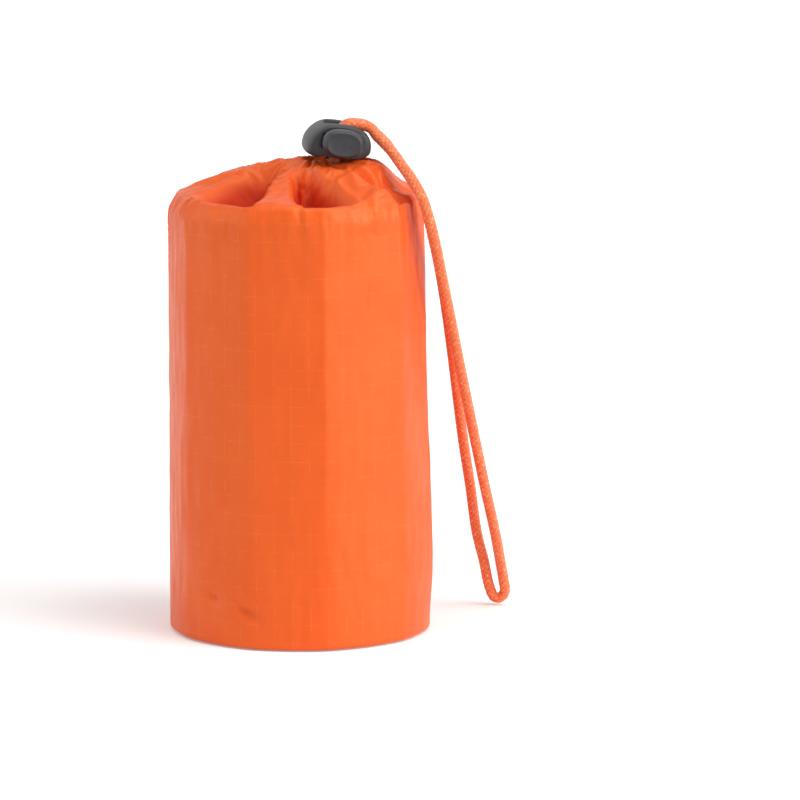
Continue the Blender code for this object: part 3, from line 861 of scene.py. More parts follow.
def makeLock():
    lockPlastic, buttonPlastic = [makeGrained(name, *values) for name, values in plastics.items()]
    steel = makeGrained("spring steel", *steelColours, (0.22, 0.36), steelGrain, 0, Metallic=1.0)
    finishPiece(makeLockBody(), "packed_tent", lockPlastic, ["lock_body"])
    finishPiece(makeLockPlunger(), "plunger", buttonPlastic, ["lock_plunger"])
    spring = makeLockSpring()
    finishPiece(spring, "packed_tent", steel, ["lock_spring"])
    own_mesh(spring)


makeLock()
print("cord lock assembled")


# Sack: one cloth for the foot seam's allowance, the wall, the gathered crown and the hem

sack = {
    "columns": 252,
    "footRadius": 0.036,
    "rimRadius": 0.0351,
    "rimHeight": 0.1205,
    "rimShift": -0.0008,
    "turnFrom": 0.1155,  # where the wall starts to turn in to the crown
    "turnIn": 0.0010,
    "turnInLeft": 0.0014,  # more of it at the left
    "cloth": 0.0004,
    "foldRadius": 0.0011,  # outside radius of the cloth's turn under the wall
    "foldHeight": 0.0014,
    "foldStep": 0.0004,  # cloth between the turn's last row and the wall's first
    "allowance": 0.007,
    "allowanceRows": 4,
    "wallStep": 0.0022,
    "closeUpTo": 0.018,  # rows lie closer below this height
    "closeShare": 0.4,
    "flatShares": (0.22, 0.38),  # how flat the wall is between two creases, and more higher up
    "rimRound": 0.45,  # how much of that the rim loses
    # unevenness: depth, then how fine it is round the sack and up it
    "broad": (0.00018, 14, 120),
    "broadLow": 0.00012,  # more of it low down
    "drawn": (0.00026, 5, 26),
    "pucker": (0.00022, 24, 60),  # just over the foot seam
    "bulge": 0.0011,  # low at the right
    "lapWidth": 12.6,  # degrees that the side seam's lap covers, at the back
    "lapRise": 0.0003,
    "crownLength": 0.0345,
    "crownRows": 46,
    "crownTop": 0.1296,
    "crownReach": 0.0068,
    "pleats": 17,
    "pleatDepth": 0.0011,
    "swirl": 42,  # degrees
    "hemTube": 0.0021,
    "hemPleat": 0.0004,
    "hemTurns": (70, 100, 130, 165, 200, 235, 270),
    "hemStep": 0.0012,
    "hemOpen": 58,  # half of the hem's opening at the right, in degrees
    "simScale": 20,  # the cloth is simulated this many times larger
    "simFrom": 0.098,  # height where the simulated stretch starts
    "simEase": 26,  # rows over which the wall below takes over again
    "frames": 12,
    "slack": -0.03,  # how much more cloth there is than the drawn shape needs
    "leastHold": 0.25,  # how firmly the loosest rows are held, where 1 is fixed
    "mostMove": 0.0009,
}

# Crown: its shares are of the way from the rim to the hem, its directions are in degrees from +X
crown = {
    "steps": 80,  # in each drawn column
    "shoulderEnd": 0.08,
    "roundPower": 2.1,  # of its profile at the back
    "steepShares": (0.14, 0.20, 0.66),  # at the right: shoulder, even climb and later climb
    "steepFrom": 0.06,
    "steepOver": 0.58,
    "frontAt": -92,
    "frontHalf": 55,
    "frontFull": 1.3,  # over 1, so that its middle is at its full strength
    "frontShares": (0.12, 0.88),  # at the front: shoulder and nearly even climb
    "frontPower": 0.95,
    "pocketFrom": 0.035,
    "pocketSlant": 0.75,
    "pocketPower": 1.15,
    "pocketRise": 0.003,  # how much higher a pocket's floor is where it opens
    "pocketEnd": 0.62,  # share of its own length where a pocket starts to run out
    "innerPleat": 0.0007,
    "ripple": 0.0009,
    "sink": 0.0006,
    "rightLift": 0.0013,
}

# What the simulation of the cloth is given, by Blender's own names
settling = {
    "quality": 5,
    "mass": 0.15,
    "tension_stiffness": 20,
    "compression_stiffness": 20,
    "shear_stiffness": 4,
    "bending_stiffness": 0.6,
    "air_damping": 3,
    "vertex_group_mass": "pin",
    "pin_stiffness": 0.6,
}

# Pockets of the crown, in degrees from +X at the rim: where one starts, where its full depth
# starts and stops, and where it ends. Then the height of its lip, its depth under the lip, and
# the share of the way to the gather where its far wall ends.
pockets = [
    (-172, -130, -118, -109, 0.1212, 0.0125, 0.96),
    (-92, -83, -75, -56, 0.1222, 0.0137, 0.92),
    (36, 60, 66, 76, 0.1218, 0.0100, 0.92),
    (86, 94, 102, 122, 0.1212, 0.0115, 0.92),
    (130, 146, 150, 160, 0.1208, 0.0085, 0.90),
]

# Narrow valleys: direction, half width, depth, and the share where it is deepest. A negative
# depth is a ridge.
valleys = [
    (-44, 8, -0.0033, 0.05),
    (-30, 6, 0.0052, 0.20),
    (-172, 8, 0.0010, 0.40),
]

# Dents and swells: direction and half width in degrees, share of the way in and its half
# width, and the rise
swells = [
    (-84, 7, 0.34, 0.14, -0.0022),
    (-63, 9, 0.78, 0.10, 0.0010),
    (-140, 6, 0.42, 0.10, 0.0007),
    (-128, 5, 0.50, 0.09, -0.0006),
    (-20, 9, 0.30, 0.12, -0.0008),
    (-6, 10, 0.42, 0.14, 0.0006),
]

# Small wrinkles near the foot: direction, height, half width in degrees, half height, slant
# and depth
dents = [
    (-131, 0.0137, 3.6, 0.0012, -0.00024, 0.00100),
    (-113, 0.0108, 4.2, 0.0013, -0.00034, 0.00130),
    (24, 0.0120, 3.6, 0.0012, -0.00024, 0.00050),
    (141, 0.0098, 3.4, 0.0012, 0.00026, 0.00055),
]

# Soft vertical creases of the wall, in degrees from +X. The cloth between two is a little flat.
creases = [-176, -148, -112, -77, -36, -8, 30, 74, 118, 152]


def apart(angle, other):
    return (angle - other + 180) % 360 - 180


def pleatWave(degrees):
    # the fine pleats of the gather, a little uneven
    angle = math.radians(degrees)
    uneven = 1.4 * math.sin(2 * angle + 0.7) + 1.1 * math.sin(5 * angle + 2.1)
    return math.sin(sack["pleats"] * angle + uneven)


def wallPoint(degrees, height):
    # a point of the wall's outside. Each of its forms fades in and out over a share of the height.
    angle, share = math.radians(degrees), height / sack["rimHeight"]
    radius = sack["footRadius"] + (sack["rimRadius"] - sack["footRadius"]) * share
    before = max((c for c in creases if c <= degrees), default=creases[-1] - 360)
    after = min((c for c in creases if c > degrees), default=creases[0] + 360)
    middle, half = (before + after) / 2, math.radians(after - before) / 2
    flat = math.cos(half) / math.cos(math.radians(degrees - middle))
    least, more = sack["flatShares"]
    strength = least + more * max(0, min(1, (share - 0.05) / 0.6))
    strength *= 1 - sack["rimRound"] * smooth((share - 0.93) / 0.07)
    radius *= 1 + (flat - 1) * strength
    low = 1 - smooth(share / 0.45)
    depth, fine, tall = sack["broad"]
    broad = roundNoise(fine, angle, height * tall)
    radius += (depth + sack["broadLow"] * low) * broad * min(1, share * 6)
    depth, fine, tall = sack["drawn"]
    radius += depth * roundNoise(fine, angle, height * tall) * smooth(share * 4)
    depth, fine, tall = sack["pucker"]
    nearFoot = smooth(share * 40) * (1 - smooth(share / 0.09))
    radius += depth * roundNoise(fine, angle, height * tall) * nearFoot
    rightward = max(0, math.cos(angle)) ** 4
    radius += sack["bulge"] * rightward * smooth(share * 6) * (1 - smooth((share - 0.15) / 0.7))
    for middle, level, half, halfHeight, slant, depth in dents:
        aside = apart(degrees, middle)
        if abs(aside) < 3 * half:
            away = (height - level - slant * aside) / halfHeight
            radius -= depth * math.exp(-((aside / half) ** 2) - away**2) * (1 - 0.9 * away)
    over = sack["lapRise"] * smooth((sack["lapWidth"] / 2 - abs(apart(degrees, 90))) / 0.8)
    radius += over * (1 - smooth((share - 0.9) / 0.1))
    if height > sack["turnFrom"]:
        turnIn = sack["turnIn"] + sack["turnInLeft"] * max(0, -math.cos(angle))
        radius -= turnIn * ((height - sack["turnFrom"]) / (sack["rimHeight"] - sack["turnFrom"])) ** 2
    return turnedPoint(radius, angle, height, sack["rimShift"] * share)


def crownRise(f, turned, right):
    # the crown's profile, from 0 at the rim to 1 at the hem: round at the back, stepped at the
    # right and nearly even at the front
    shoulder = 1 - (1 - min(1, f / crown["shoulderEnd"])) ** 2
    rise = 1 - (1 - f) ** crown["roundPower"]
    first, even, late = crown["steepShares"]
    steep = first * shoulder + even * f + late * smooth((f - crown["steepFrom"]) / crown["steepOver"])
    rise += (steep - rise) * right
    first, even = crown["frontShares"]
    front = smooth(crown["frontFull"] - abs(apart(turned, crown["frontAt"])) / crown["frontHalf"])
    return rise + (first * shoulder + even * f ** crown["frontPower"] - rise) * front


def sinkPockets(point, f, turned):
    start, rise, ends = crown["pocketFrom"], crown["pocketRise"], crown["pocketEnd"]
    for opens, full, still, closes, lip, depth, end in pockets:
        place = opens + (turned - opens) % 360
        opening = smooth((place - opens) / (full - opens))
        width = opening * smooth((closes - place) / (closes - still))
        share = min(1, max(0, (f - start) / (end - start)))
        hollow = math.sin(math.pi * share ** crown["pocketSlant"]) ** crown["pocketPower"]
        floor = lip + rise * (1 - opening) - depth * hollow
        width *= 1 - smooth((f - ends * end) / ((1 - ends) * end))
        point.z += (min(floor, point.z) - point.z) * width


def crownTarget(degrees, count):
    # where the column of cloth goes from the rim to the hem, at equal distances along it, and
    # how deep each point lies in a pocket, in millimetres, which the cloth's material turns into painted
    # shade
    angle = math.radians(degrees)
    rim = wallPoint(degrees, sack["rimHeight"])
    reach = sack["crownReach"] + sack["pleatDepth"] * pleatWave(degrees)
    hem = turnedPoint(reach, angle, sack["crownTop"], cord["mouth"])
    line = []
    for step in range(crown["steps"] + 1):
        f = step / crown["steps"]
        point = rim.lerp(hem, f)
        turned = degrees + sack["swirl"] * f * f  # the folds turn a little on their way in
        right = max(0, math.cos(math.radians(turned)))
        point.z = rim.z + (hem.z - rim.z) * crownRise(f, turned, right)
        for middle, half, depth, deepest in valleys:
            width = math.exp(-((apart(turned, middle) / half) ** 2))
            power = math.log(0.5) / math.log(deepest)
            point.z -= depth * width * math.sin(math.pi * f**power)
        level = point.z
        sinkPockets(point, f, turned)
        sunk = (level - point.z) * 1000
        for middle, half, at, halfShare, lift in swells:
            near = (apart(turned, middle) / half) ** 2 + ((f - at) / halfShare) ** 2
            point.z += lift * math.exp(-near)
        point.z += crown["innerPleat"] * pleatWave(turned) * smooth((f - 0.5) / 0.5) * (1 - 0.6 * f)
        lift = crown["ripple"] * roundNoise(7, angle, f * 2.2) - crown["sink"] * smooth(f * 3)
        lift += crown["rightLift"] * right * smooth(f * 2)
        point.z += lift * smooth(f * 5) * smooth((1 - f) * 4)
        line.append(Vector((*point, sunk)))
    return evenly(line, count)[0]


def drawCrown(angles, step):
    # the cloth from the wall to the hem as it is drawn, how firmly each point is held, how
    # deep it lies in a pocket, and the number of rows
    lowRows = round((sack["rimHeight"] - sack["simFrom"]) / step)
    rows = lowRows + sack["crownRows"] + 1
    columns = [crownTarget(degrees, sack["crownRows"]) for degrees in angles]
    least = sack["leastHold"]
    points, holds, folds = [], [], []
    for row in range(rows):
        over = row - lowRows
        for column, degrees in zip(columns, angles):
            if over <= 0:
                points.append(wallPoint(degrees, sack["rimHeight"] + over * step))
                folds.append(0.0)
                holds.append(1 - (1 - least) * (row / lowRows) ** 1.5)
            else:
                points.append(column[over].xyz)
                folds.append(column[over].w)
                last = max(0, over / sack["crownRows"] - 0.75) / 0.25
                holds.append(least + (1 - least) * last**2)
    return points, holds, folds, rows


def settleCloth(points, holds, rows, columns):
    # a little slack lets the drawn cloth wrinkle by itself, held at its hem and its wall
    scale = sack["simScale"]
    faces = [quad for _, _, quad in ringQuads(rows, columns)]
    obj = meshFrom("sackCloth", [point * scale for point in points], faces)
    group = obj.vertex_groups.new(name="pin")
    for index, hold in enumerate(holds):
        group.add([index], hold, "REPLACE")
    modifier = obj.modifiers.new("cloth", "CLOTH")
    settings, contact = modifier.settings, modifier.collision_settings
    for key, value in settling.items():
        setattr(settings, key, value)
    settings.effector_weights.gravity = 0
    settings.shrink_min = settings.shrink_max = sack["slack"]
    contact.use_collision = False
    contact.use_self_collision = False
    scene = bpy.context.scene
    modifier.point_cache.frame_start = 1
    modifier.point_cache.frame_end = sack["frames"]
    for frameNumber in range(1, sack["frames"] + 1):
        scene.frame_set(frameNumber)
    graph = bpy.context.evaluated_depsgraph_get()
    made, far = [], 0
    for index, (vertex, point) in enumerate(zip(obj.evaluated_get(graph).data.vertices, points)):
        move = vertex.co / scale - point
        far = max(far, move.length)
        if move.length > sack["mostMove"]:
            move *= sack["mostMove"] / move.length
        move *= smooth(index // columns / sack["simEase"])
        made.append(point + move)
    scene.frame_set(1)
    bpy.data.objects.remove(obj)
    print(f"cloth settled, by up to {far * 1000:.2f} mm")
    return made


def gridMesh(name, grid, across, upward, thickness, skip=None, floats=None):
    # a round sheet from rows of points, with its UV map in metres. Its outside is the grid.
    points = [point for line in grid for point in line]
    faces, uvs = [], []
    for row, column, quad in ringQuads(len(grid), len(grid[0])):
        if skip and skip(row, column):
            continue
        faces.append(quad)
        uvs += corners(column * across, (column + 1) * across, upward[row], upward[row + 1])
    obj = meshFrom(name, points, faces, uvs, floats)
    loose = bmesh.new()
    loose.from_mesh(obj.data)
    bmesh.ops.delete(loose, geom=[v for v in loose.verts if not v.link_faces], context="VERTS")
    loose.to_mesh(obj.data)
    loose.free()
    giveThickness(obj, thickness)
    return obj


def footRows(angles):
    # the allowance stands inside the foot seam, and the cloth turns under to the wall
    fold, level, rows = sack["foldRadius"], sack["foldHeight"], sack["allowanceRows"]
    drop = (sack["allowance"] - level) / rows
    turns = [(2 * fold, sack["allowance"] - drop * row) for row in range(rows)]
    turns += arcPoints((fold, level), fold, range(0, -180, -20))
    grid, cloths, far, before = [], [], 0, turns[0]
    for inward, height in turns:
        far += math.dist((inward, height), before)
        before = (inward, height)
        line = []
        for degrees in angles:
            point = wallPoint(degrees, level) - turnedPoint(inward, math.radians(degrees), 0)
            line.append(Vector((point.x, point.y, height)))
        grid.append(line)
        cloths.append(far)
    return grid, cloths


def wallHeights():
    heights = [sack["foldHeight"]]
    while heights[-1] < sack["simFrom"] - 0.7 * sack["wallStep"]:
        share = sack["closeShare"] if heights[-1] < sack["closeUpTo"] else 1
        heights.append(heights[-1] + sack["wallStep"] * share)
    return heights


def hemRows(angles):
    # the hem turns over the cord and back down inside it
    grid = []
    for turn in sack["hemTurns"]:
        around, line = math.radians(turn), []
        for degrees in angles:
            pleat = 0.5 + 0.5 * pleatWave(degrees)
            tube = sack["hemTube"] + sack["hemPleat"] * pleat * max(0, math.cos(math.radians(turn - 50)))
            out = cord["ringRadius"] + tube * math.cos(around)
            rise = cord["ringHeight"] + tube * math.sin(around)
            line.append(turnedPoint(out, math.radians(degrees), rise, cord["mouth"]))
        grid.append(line)
    return grid


def makeSackCloth():
    columns = sack["columns"]
    step = sack["crownLength"] / sack["crownRows"]
    angles = [360 * column / columns - 180 for column in range(columns)]
    shape, holds, folds, rows = drawCrown(angles, step)
    shape = settleCloth(shape, holds, rows, columns)

    # cloths says how far along the cloth each row lies
    grid, cloths = footRows(angles)
    start = cloths[-1] + sack["foldStep"] - sack["foldHeight"]
    for height in wallHeights():
        grid.append([wallPoint(degrees, height) for degrees in angles])
        cloths.append(start + height)
    folds = [0.0] * (len(grid) * columns) + folds
    for row in range(rows):
        grid.append(shape[row * columns : (row + 1) * columns])
        cloths.append(start + sack["simFrom"] + row * step)
    crownEnd = len(grid) - 1
    for line in hemRows(angles):
        grid.append(line)
        cloths.append(cloths[-1] + sack["hemStep"])
        folds += [0.0] * columns

    def hemOpens(row, column):
        return row >= crownEnd and abs(angles[column] + 180 / columns) < sack["hemOpen"]

    pitch = math.tau * sack["footRadius"] / columns
    obj = gridMesh("sackSidePanel", grid, pitch, cloths, sack["cloth"], hemOpens, {"fold": folds})
    finishPiece(obj, "packed_tent", ripstop, ["side_panel"])
    return obj, cloths[-1]


# Base panel: a round cloth whose edge turns up inside the foot seam

panel = {
    "edge": 0.0335,
    "high": 0.007,
    "turn": 0.0008,  # radius where the edge turns up
    "columns": 132,
    "rings": 16,
    "ringPower": 0.8,
    "edgeRows": 4,
    "leastGap": 0.0004,
    "middle": 0.0001,  # height of its middle
    "wave": 0.00018,
    "pull": 0.00012,
}


def makeBasePanel():
    edge, turn, columns, rings = panel["edge"], panel["turn"], panel["columns"], panel["rings"]
    path = [(edge * (row / rings) ** panel["ringPower"], 0.0) for row in range(1, rings)]
    path = [(out, height) for out, height in path if out < edge - turn - panel["leastGap"]]
    path += arcPoints((edge - turn, turn), turn, range(-90, 1, 18))
    rows = panel["edgeRows"]
    path += [(edge, turn + (panel["high"] - turn) * row / rows) for row in range(1, rows + 1)]
    points, flat, far, before = [], [], 0, (0, 0)
    for out, height in path:
        far += math.dist((out, height), before)
        before = (out, height)
        for column in range(columns):
            angle = math.tau * column / columns
            wave = roundNoise(out * 90, angle, 3.1)
            lift = panel["wave"] * (0.5 + 0.5 * wave) if height < turn else 0
            pull = panel["pull"] * roundNoise(9, angle, height * 300)
            reach = out - (abs(pull) if height > 0 else 0)
            points.append(turnedPoint(reach, angle, height + lift))
            flat.append((far * math.cos(angle), far * math.sin(angle)))
    faces = [((column + 1) % columns, column, len(points)) for column in range(columns)]
    faces += [quad for _, _, quad in ringQuads(len(path), columns)]
    points.append(Vector((0, 0, panel["middle"])))
    flat.append((0, 0))
    uvs = [flat[index] for face in faces for index in face]
    obj = meshFrom("basePanel", points, faces, uvs, {"fold": [0.0] * len(points)})
    giveThickness(obj, sack["cloth"])
    finishPiece(obj, "packed_tent", ripstop, ["base_panel"])
    return obj


# Tapes inside the seams: the foot seam's is folded over both edges, the side seam's lies flat

tape = {
    "thick": 0.0004,
    "outer": 0.0351,
    "inner": 0.0322,
    "middle": 0.0337,  # radius on which its UV map is measured
    "top": 0.0077,
    "leg": 0.0037,
    "legRows": 4,
    "round": 0.0005,
    "columns": 168,
    "wave": 0.00012,
    "sideWide": 0.008,
    "sideThick": 0.0004,
    "sideLow": 0.008,
    "sideHigh": 0.1165,
    "sideInside": 0.0009,  # from the wall's outside to the tape's outside
    "sideGap": 0.00005,
    "sideRows": 74,
    "sideSteps": 8,
    "sideWave": 0.00010,
    "colour": (0.80, 0.115, 0.028),
    "ribColour": (0.58, 0.065, 0.016),
    "paleColour": (0.92, 0.2, 0.06),
}
tapeWeave = {"Grid pitch": 0.0009, "Grid width": 0.0002, "Thread pitch": 0.0003}


def makeTapeMaterial():
    material, tree, shader = newMaterial("woven tape", 0.72, Sheen_Weight=0.3, Sheen_Roughness=0.5)
    weave = useGroup(tree, ripstopGroup, onCloth(tree), tapeWeave)
    rib = mathNode(tree, "MULTIPLY", weave["Grid"], 0.5)
    colour = mixColour(tree, rib, tape["colour"], tape["ribColour"])
    pale = ramp(tree, weave["Cloud"], 0.4, 0.7, 0.0, 0.25)
    join(tree, mixColour(tree, pale, colour, tape["paleColour"]), shader["Base Color"])
    height = mathNode(tree, "SUBTRACT", weave["Weave"], weave["Grid"])
    bumpFrom(tree, height, 0.5, 0.00008, shader)
    return material


tapeFinish = makeTapeMaterial()


def makeFootTape():
    outer, inner, top, rounding = tape["outer"], tape["inner"], tape["top"], tape["round"]
    columns, rows, leg = tape["columns"], tape["legRows"], tape["leg"] - tape["round"]
    path = [(outer, top - tape["leg"] + leg * row / rows) for row in range(rows + 1)]
    path += arcPoints((outer - rounding, top - rounding), rounding, (30, 60, 90))
    path += arcPoints((inner + rounding, top - rounding), rounding, (90, 120, 150, 180))
    path += [(inner, top - rounding - leg * row / rows) for row in range(1, rows + 1)]
    grid, across = [], [0.0]
    for row, (out, height) in enumerate(path):
        if row:
            across.append(across[-1] + math.dist(path[row - 1], path[row]))
        line = []
        for column in range(columns):
            angle = math.tau * column / columns
            sag = tape["wave"] * abs(roundNoise(11, angle, row * 0.25))
            line.append(turnedPoint(out, angle, height - sag))
        grid.append(line)
    obj = gridMesh("footSeamTape", grid, math.tau * tape["middle"] / columns, across, tape["thick"])
    finishPiece(obj, "packed_tent", tapeFinish, ["base_seam_binding"])
    return obj


def makeSideTape():
    # a flat tape, a little wavy at its edges
    rows, steps = tape["sideRows"], tape["sideSteps"]
    across, up = tape["sideWide"] / steps, (tape["sideHigh"] - tape["sideLow"]) / rows
    points, faces, uvs = [], [], []
    for row in range(rows + 1):
        height = tape["sideLow"] + up * row
        wall = wallPoint(90, height)
        shift = sack["rimShift"] * height / sack["rimHeight"]
        radius = math.hypot(wall.x - shift, wall.y) - sack["lapRise"]
        radius = min(radius, sack["footRadius"]) - tape["sideInside"]
        for step in range(steps + 1):
            aside = step / steps - 0.5
            edge = abs(aside) * 2
            wave = tape["sideWave"] * edge**3 * noise.noise(Vector((step, height * 260, 0.7)))
            angle = math.pi / 2 + aside * tape["sideWide"] / radius
            points.append(turnedPoint(radius - tape["sideGap"] - abs(wave), angle, height, shift))
            if row < rows and step < steps:
                here, above = row * (steps + 1) + step, (row + 1) * (steps + 1) + step
                faces.append((here, here + 1, above + 1, above))
                uvs += corners(step * across, (step + 1) * across, row * up, (row + 1) * up)
    obj = meshFrom("sideSeamTape", points, faces, uvs)
    giveThickness(obj, tape["sideThick"])
    finishPiece(obj, "packed_tent", tapeFinish, ["side_seam_binding"])
    return obj


# Sewing thread: one short bent capsule for each stitch that shows

thread = {
    "radius": 0.00017,
    "length": 0.0021,
    "pitch": 0.003,
    "sides": 6,
    "rings": 7,
    "taper": 0.55,
    "lift": 0.00001,  # of a stitch's middle over the cloth
    "sink": 0.00018,  # how much deeper its ends lie
    "rowAside": 4.1,  # degrees from the side seam's middle to each of its two rows
    "low": 0.0036,
    "span": 0.0005,
    "tapeRow": 0.0024,  # below the top of the foot seam's tape
    "colours": ((0.78, 0.10, 0.025), (0.96, 0.24, 0.075)),
}


def makeThreadMaterial():
    material, tree, shader = newMaterial("sewing thread", 0.6, Sheen_Weight=0.3)
    fibre = noiseOn(tree, onObject(tree), 5200, 2)
    colour = mixColour(tree, ramp(tree, fibre, 0.4, 0.65), *thread["colours"])
    join(tree, colour, shader["Base Color"])
    bumpFrom(tree, fibre, 0.3, 0.00005, shader)
    return material


def makeThread(stitches):
    # each stitch is given as its middle, its direction and the cloth's outward direction
    sides, rings = thread["sides"], thread["rings"]
    points, faces = [], []
    for middle, along, outward in stitches:
        along, outward = along.normalized(), outward.normalized()
        side = along.cross(outward).normalized()
        first = len(points)
        for ring in range(rings):
            t = 2 * ring / (rings - 1) - 1
            radius = thread["radius"] * (1 - thread["taper"] * t**4)
            rise = thread["lift"] - thread["sink"] * t * t
            centre = middle + along * (t * thread["length"] / 2) + outward * rise
            for index in range(sides):
                angle = math.tau * index / sides
                points.append(centre + (side * math.cos(angle) + outward * math.sin(angle)) * radius)
        last = first + (rings - 1) * sides
        faces += [tuple(first + index for index in quad) for _, _, quad in ringQuads(rings, sides)]
        faces += [tuple(range(first, first + sides))[::-1], tuple(range(last, last + sides))]
    obj = meshFrom("sewingThread", points, faces)
    pick(obj)
    startEdit()
    bpy.ops.mesh.normals_make_consistent(inside=False)
    endEdit()
    finishPiece(obj, "packed_tent", makeThreadMaterial())
    return obj


def seamStitches():
    # two rows along the side seam's lap, and one inside along the foot seam's tape
    made = []
    for aside in (-thread["rowAside"], thread["rowAside"]):
        height = thread["low"]
        while height < sack["simFrom"]:
            here = wallPoint(90 + aside, height - thread["span"])
            ahead = wallPoint(90 + aside, height + thread["span"])
            made.append(((here + ahead) / 2, ahead - here, Vector((here.x, here.y, 0))))
            height += thread["pitch"]
    count = round(math.tau * tape["inner"] / thread["pitch"])
    for index in range(count):
        angle = math.tau * index / count
        inward = turnedPoint(-1, angle, 0)
        place = turnedPoint(tape["inner"], angle, tape["top"] - thread["tapeRow"])
        made.append((place, inward.cross(Vector((0, 0, 1))), inward))
    return made


# Rolled film: the folded tent, wound up from the middle. Each layer stands for several folds.

roll = {
    "first": 0.0052,  # radius of the innermost layer
    "last": 0.0322,
    "turns": 9,
    "steps": 64,
    "layer": 0.0024,
    "top": 0.106,
    "low": 0.0009,
    "overTape": 0.008,  # the outermost turn starts over the foot seam's tape
    "insideTape": 0.0319,
    "overWithin": 0.0004,
    "rows": 22,
    "folds": 4,
    "foldDepth": 0.0007,  # of the grooves between the folds at the top
    "shoulder": 0.0005,
    "uneven": 0.0006,
    "crinkle": 0.00022,
    "colours": ((0.98, 0.46, 0.20), (0.90, 0.26, 0.07)),
}


def makeFilmMaterial():
    material, tree, shader = newMaterial("tent film", 0.24, Coat_Weight=0.25, Coat_Roughness=0.12)
    place = onObject(tree)
    cells = addNode(tree, "ShaderNodeTexVoronoi", {"Scale": 210}, feature="DISTANCE_TO_EDGE")
    join(tree, place, cells.inputs["Vector"])
    crease = ramp(tree, cells.outputs["Distance"], 0.0, 0.10)
    cloud = noiseOn(tree, place, 320, 3)
    join(tree, mixColour(tree, crease, *roll["colours"]), shader["Base Color"])
    join(tree, ramp(tree, cloud, 0.3, 0.7, 0.18, 0.34), shader["Roughness"])
    bumpFrom(tree, mathNode(tree, "ADD", crease, cloud), 0.6, 0.00022, shader)
    return material


def filmRing(low, top):
    # up the outside, over the folds and down the inside, as pairs of distance and height
    half, rows, folds = roll["layer"] / 2, roll["rows"], roll["folds"]
    edge = top - roll["shoulder"]
    ring = [(half, low + (edge - low) * row / rows) for row in range(rows + 1)]
    for index in range(1, 3 * folds):
        share = index / (3 * folds)
        drop = roll["foldDepth"] * (1 - abs(math.sin(math.pi * folds * share)))
        ring.append((half - 2 * half * share, top - drop))
    return ring + [(-half, edge - (edge - low) * row / rows) for row in range(rows + 1)]


def makeFilmRoll():
    count = roll["turns"] * roll["steps"]
    points, faces, uvs = [], [], []
    rings, arc = [], 0.0
    for step in range(count + 1):
        angle = math.tau * step / roll["steps"]
        radius = roll["first"] + (roll["last"] - roll["first"]) * step / count
        arc += radius * math.tau / roll["steps"]
        outside = radius + roll["layer"] / 2
        over = smooth((outside - roll["insideTape"] + roll["overWithin"]) / roll["overWithin"])
        low = roll["low"] + (roll["overTape"] - roll["low"]) * over
        top = roll["top"] - roll["uneven"] * (1 - noise.noise(Vector((arc * 60, 0.3, 0))))
        ring = filmRing(low, top)
        rings.append((arc, [height for _, height in ring]))
        for across, height in ring:
            dent = roll["crinkle"] * noise.noise(Vector((arc * 95, height * 110, 0)))
            points.append(turnedPoint(radius + across + dent, angle, height))
    size = len(ring)
    for step, index, (a, b, c, d) in ringQuads(count + 1, size):
        faces.append((a, d, c, b))
        (left, near), (right, far) = rings[step], rings[step + 1]
        after = (index + 1) % size
        uvs += [(left, near[index]), (right, far[index]), (right, far[after]), (left, near[after])]
    faces += [tuple(range(size)), tuple(count * size + index for index in reversed(range(size)))]
    uvs += [(0, 0)] * (2 * size)
    obj = meshFrom("tentFilmRoll", points, faces, uvs)
    obj.data.set_sharp_from_angle(angle=math.radians(50))
    finishPiece(obj, "packed_tent", makeFilmMaterial(), ["tent_film_roll"])
    print(f"film rolled: strip {arc:.3f} m long")


def sewSack():
    body, length = makeSackCloth()
    base = makeBasePanel()
    footTape = makeFootTape()
    sideTape = makeSideTape()
    stitches = makeThread(seamStitches())


sewSack()
print("sack sewn")
makeFilmRoll()


# Floor and light

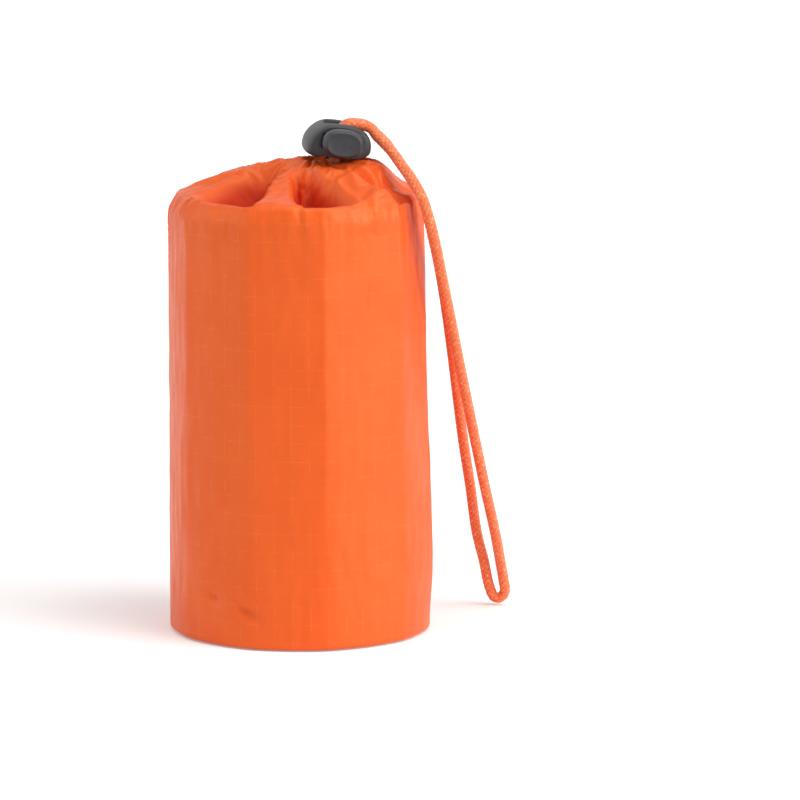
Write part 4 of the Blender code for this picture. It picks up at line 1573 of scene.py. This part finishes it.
studio = {
    "floorSize": 12,
    "floorHeight": -0.00005,
    "floorColour": (0.95, 0.95, 0.95, 1),
    "floorLift": (0.24, 0.24, 0.24),  # what the camera adds to the floor's own light
    "roomLight": 0.24,
    # direction towards each lamp, its strength, and how wide it is in degrees
    "lamps": [
        ("keyLight", (0.60, -0.36, 1.0), 1.15, 45),
        ("sideLight", (0.92, -0.42, 0.20), 2.15, 46),
        ("fillLight", (-0.96, -0.26, 0.3), 0.98, 60),
        ("topLight", (0.05, -0.10, 1.0), 0.72, 40),
    ],
}


def seenDirectly(tree):
    # 1 for the camera, in reflections and through clear pieces, and 0 for the light on the object
    path = addNode(tree, "ShaderNodeLightPath")
    seen = mathNode(tree, "MAXIMUM", path.outputs["Is Camera Ray"], path.outputs["Is Glossy Ray"])
    return mathNode(tree, "MAXIMUM", seen, path.outputs["Is Transmission Ray"])


def makeFloor():
    size, place = studio["floorSize"], (0, 0, studio["floorHeight"])
    bpy.ops.mesh.primitive_plane_add(size=size, location=place)
    floor = bpy.context.object
    floor.name = "floor"
    material, tree, shader = newMaterial(
        "pale floor", 0.9, Emission_Strength=1.0, Specular_IOR_Level=0.1, Base_Color=studio["floorColour"]
    )
    lift = mixColour(tree, seenDirectly(tree), (0.0, 0.0, 0.0), studio["floorLift"])
    join(tree, lift, shader["Emission Color"])
    floor.data.materials.append(material)


def makeLight():
    world = bpy.data.worlds.new("studio")
    bpy.context.scene.world = world
    world.use_nodes = True
    tree, room = world.node_tree, studio["roomLight"]
    back = tree.nodes["Background"].inputs
    back["Color"].default_value = (1, 1, 1, 1)
    rest = mathNode(tree, "MULTIPLY", seenDirectly(tree), 1 - room)
    join(tree, mathNode(tree, "ADD", rest, room), back["Strength"])
    for name, toLight, strength, width in studio["lamps"]:
        light = bpy.data.lights.new(name, "SUN")
        light.energy = strength
        light.angle = math.radians(width)
        lamp = addObject(name, light)
        lamp.location = toLight
        lamp.rotation_euler = Vector(toLight).to_track_quat("Z", "Y").to_euler()
    bpy.context.scene.view_settings.view_transform = "Standard"


makeFloor()
makeLight()
print("studio lit")
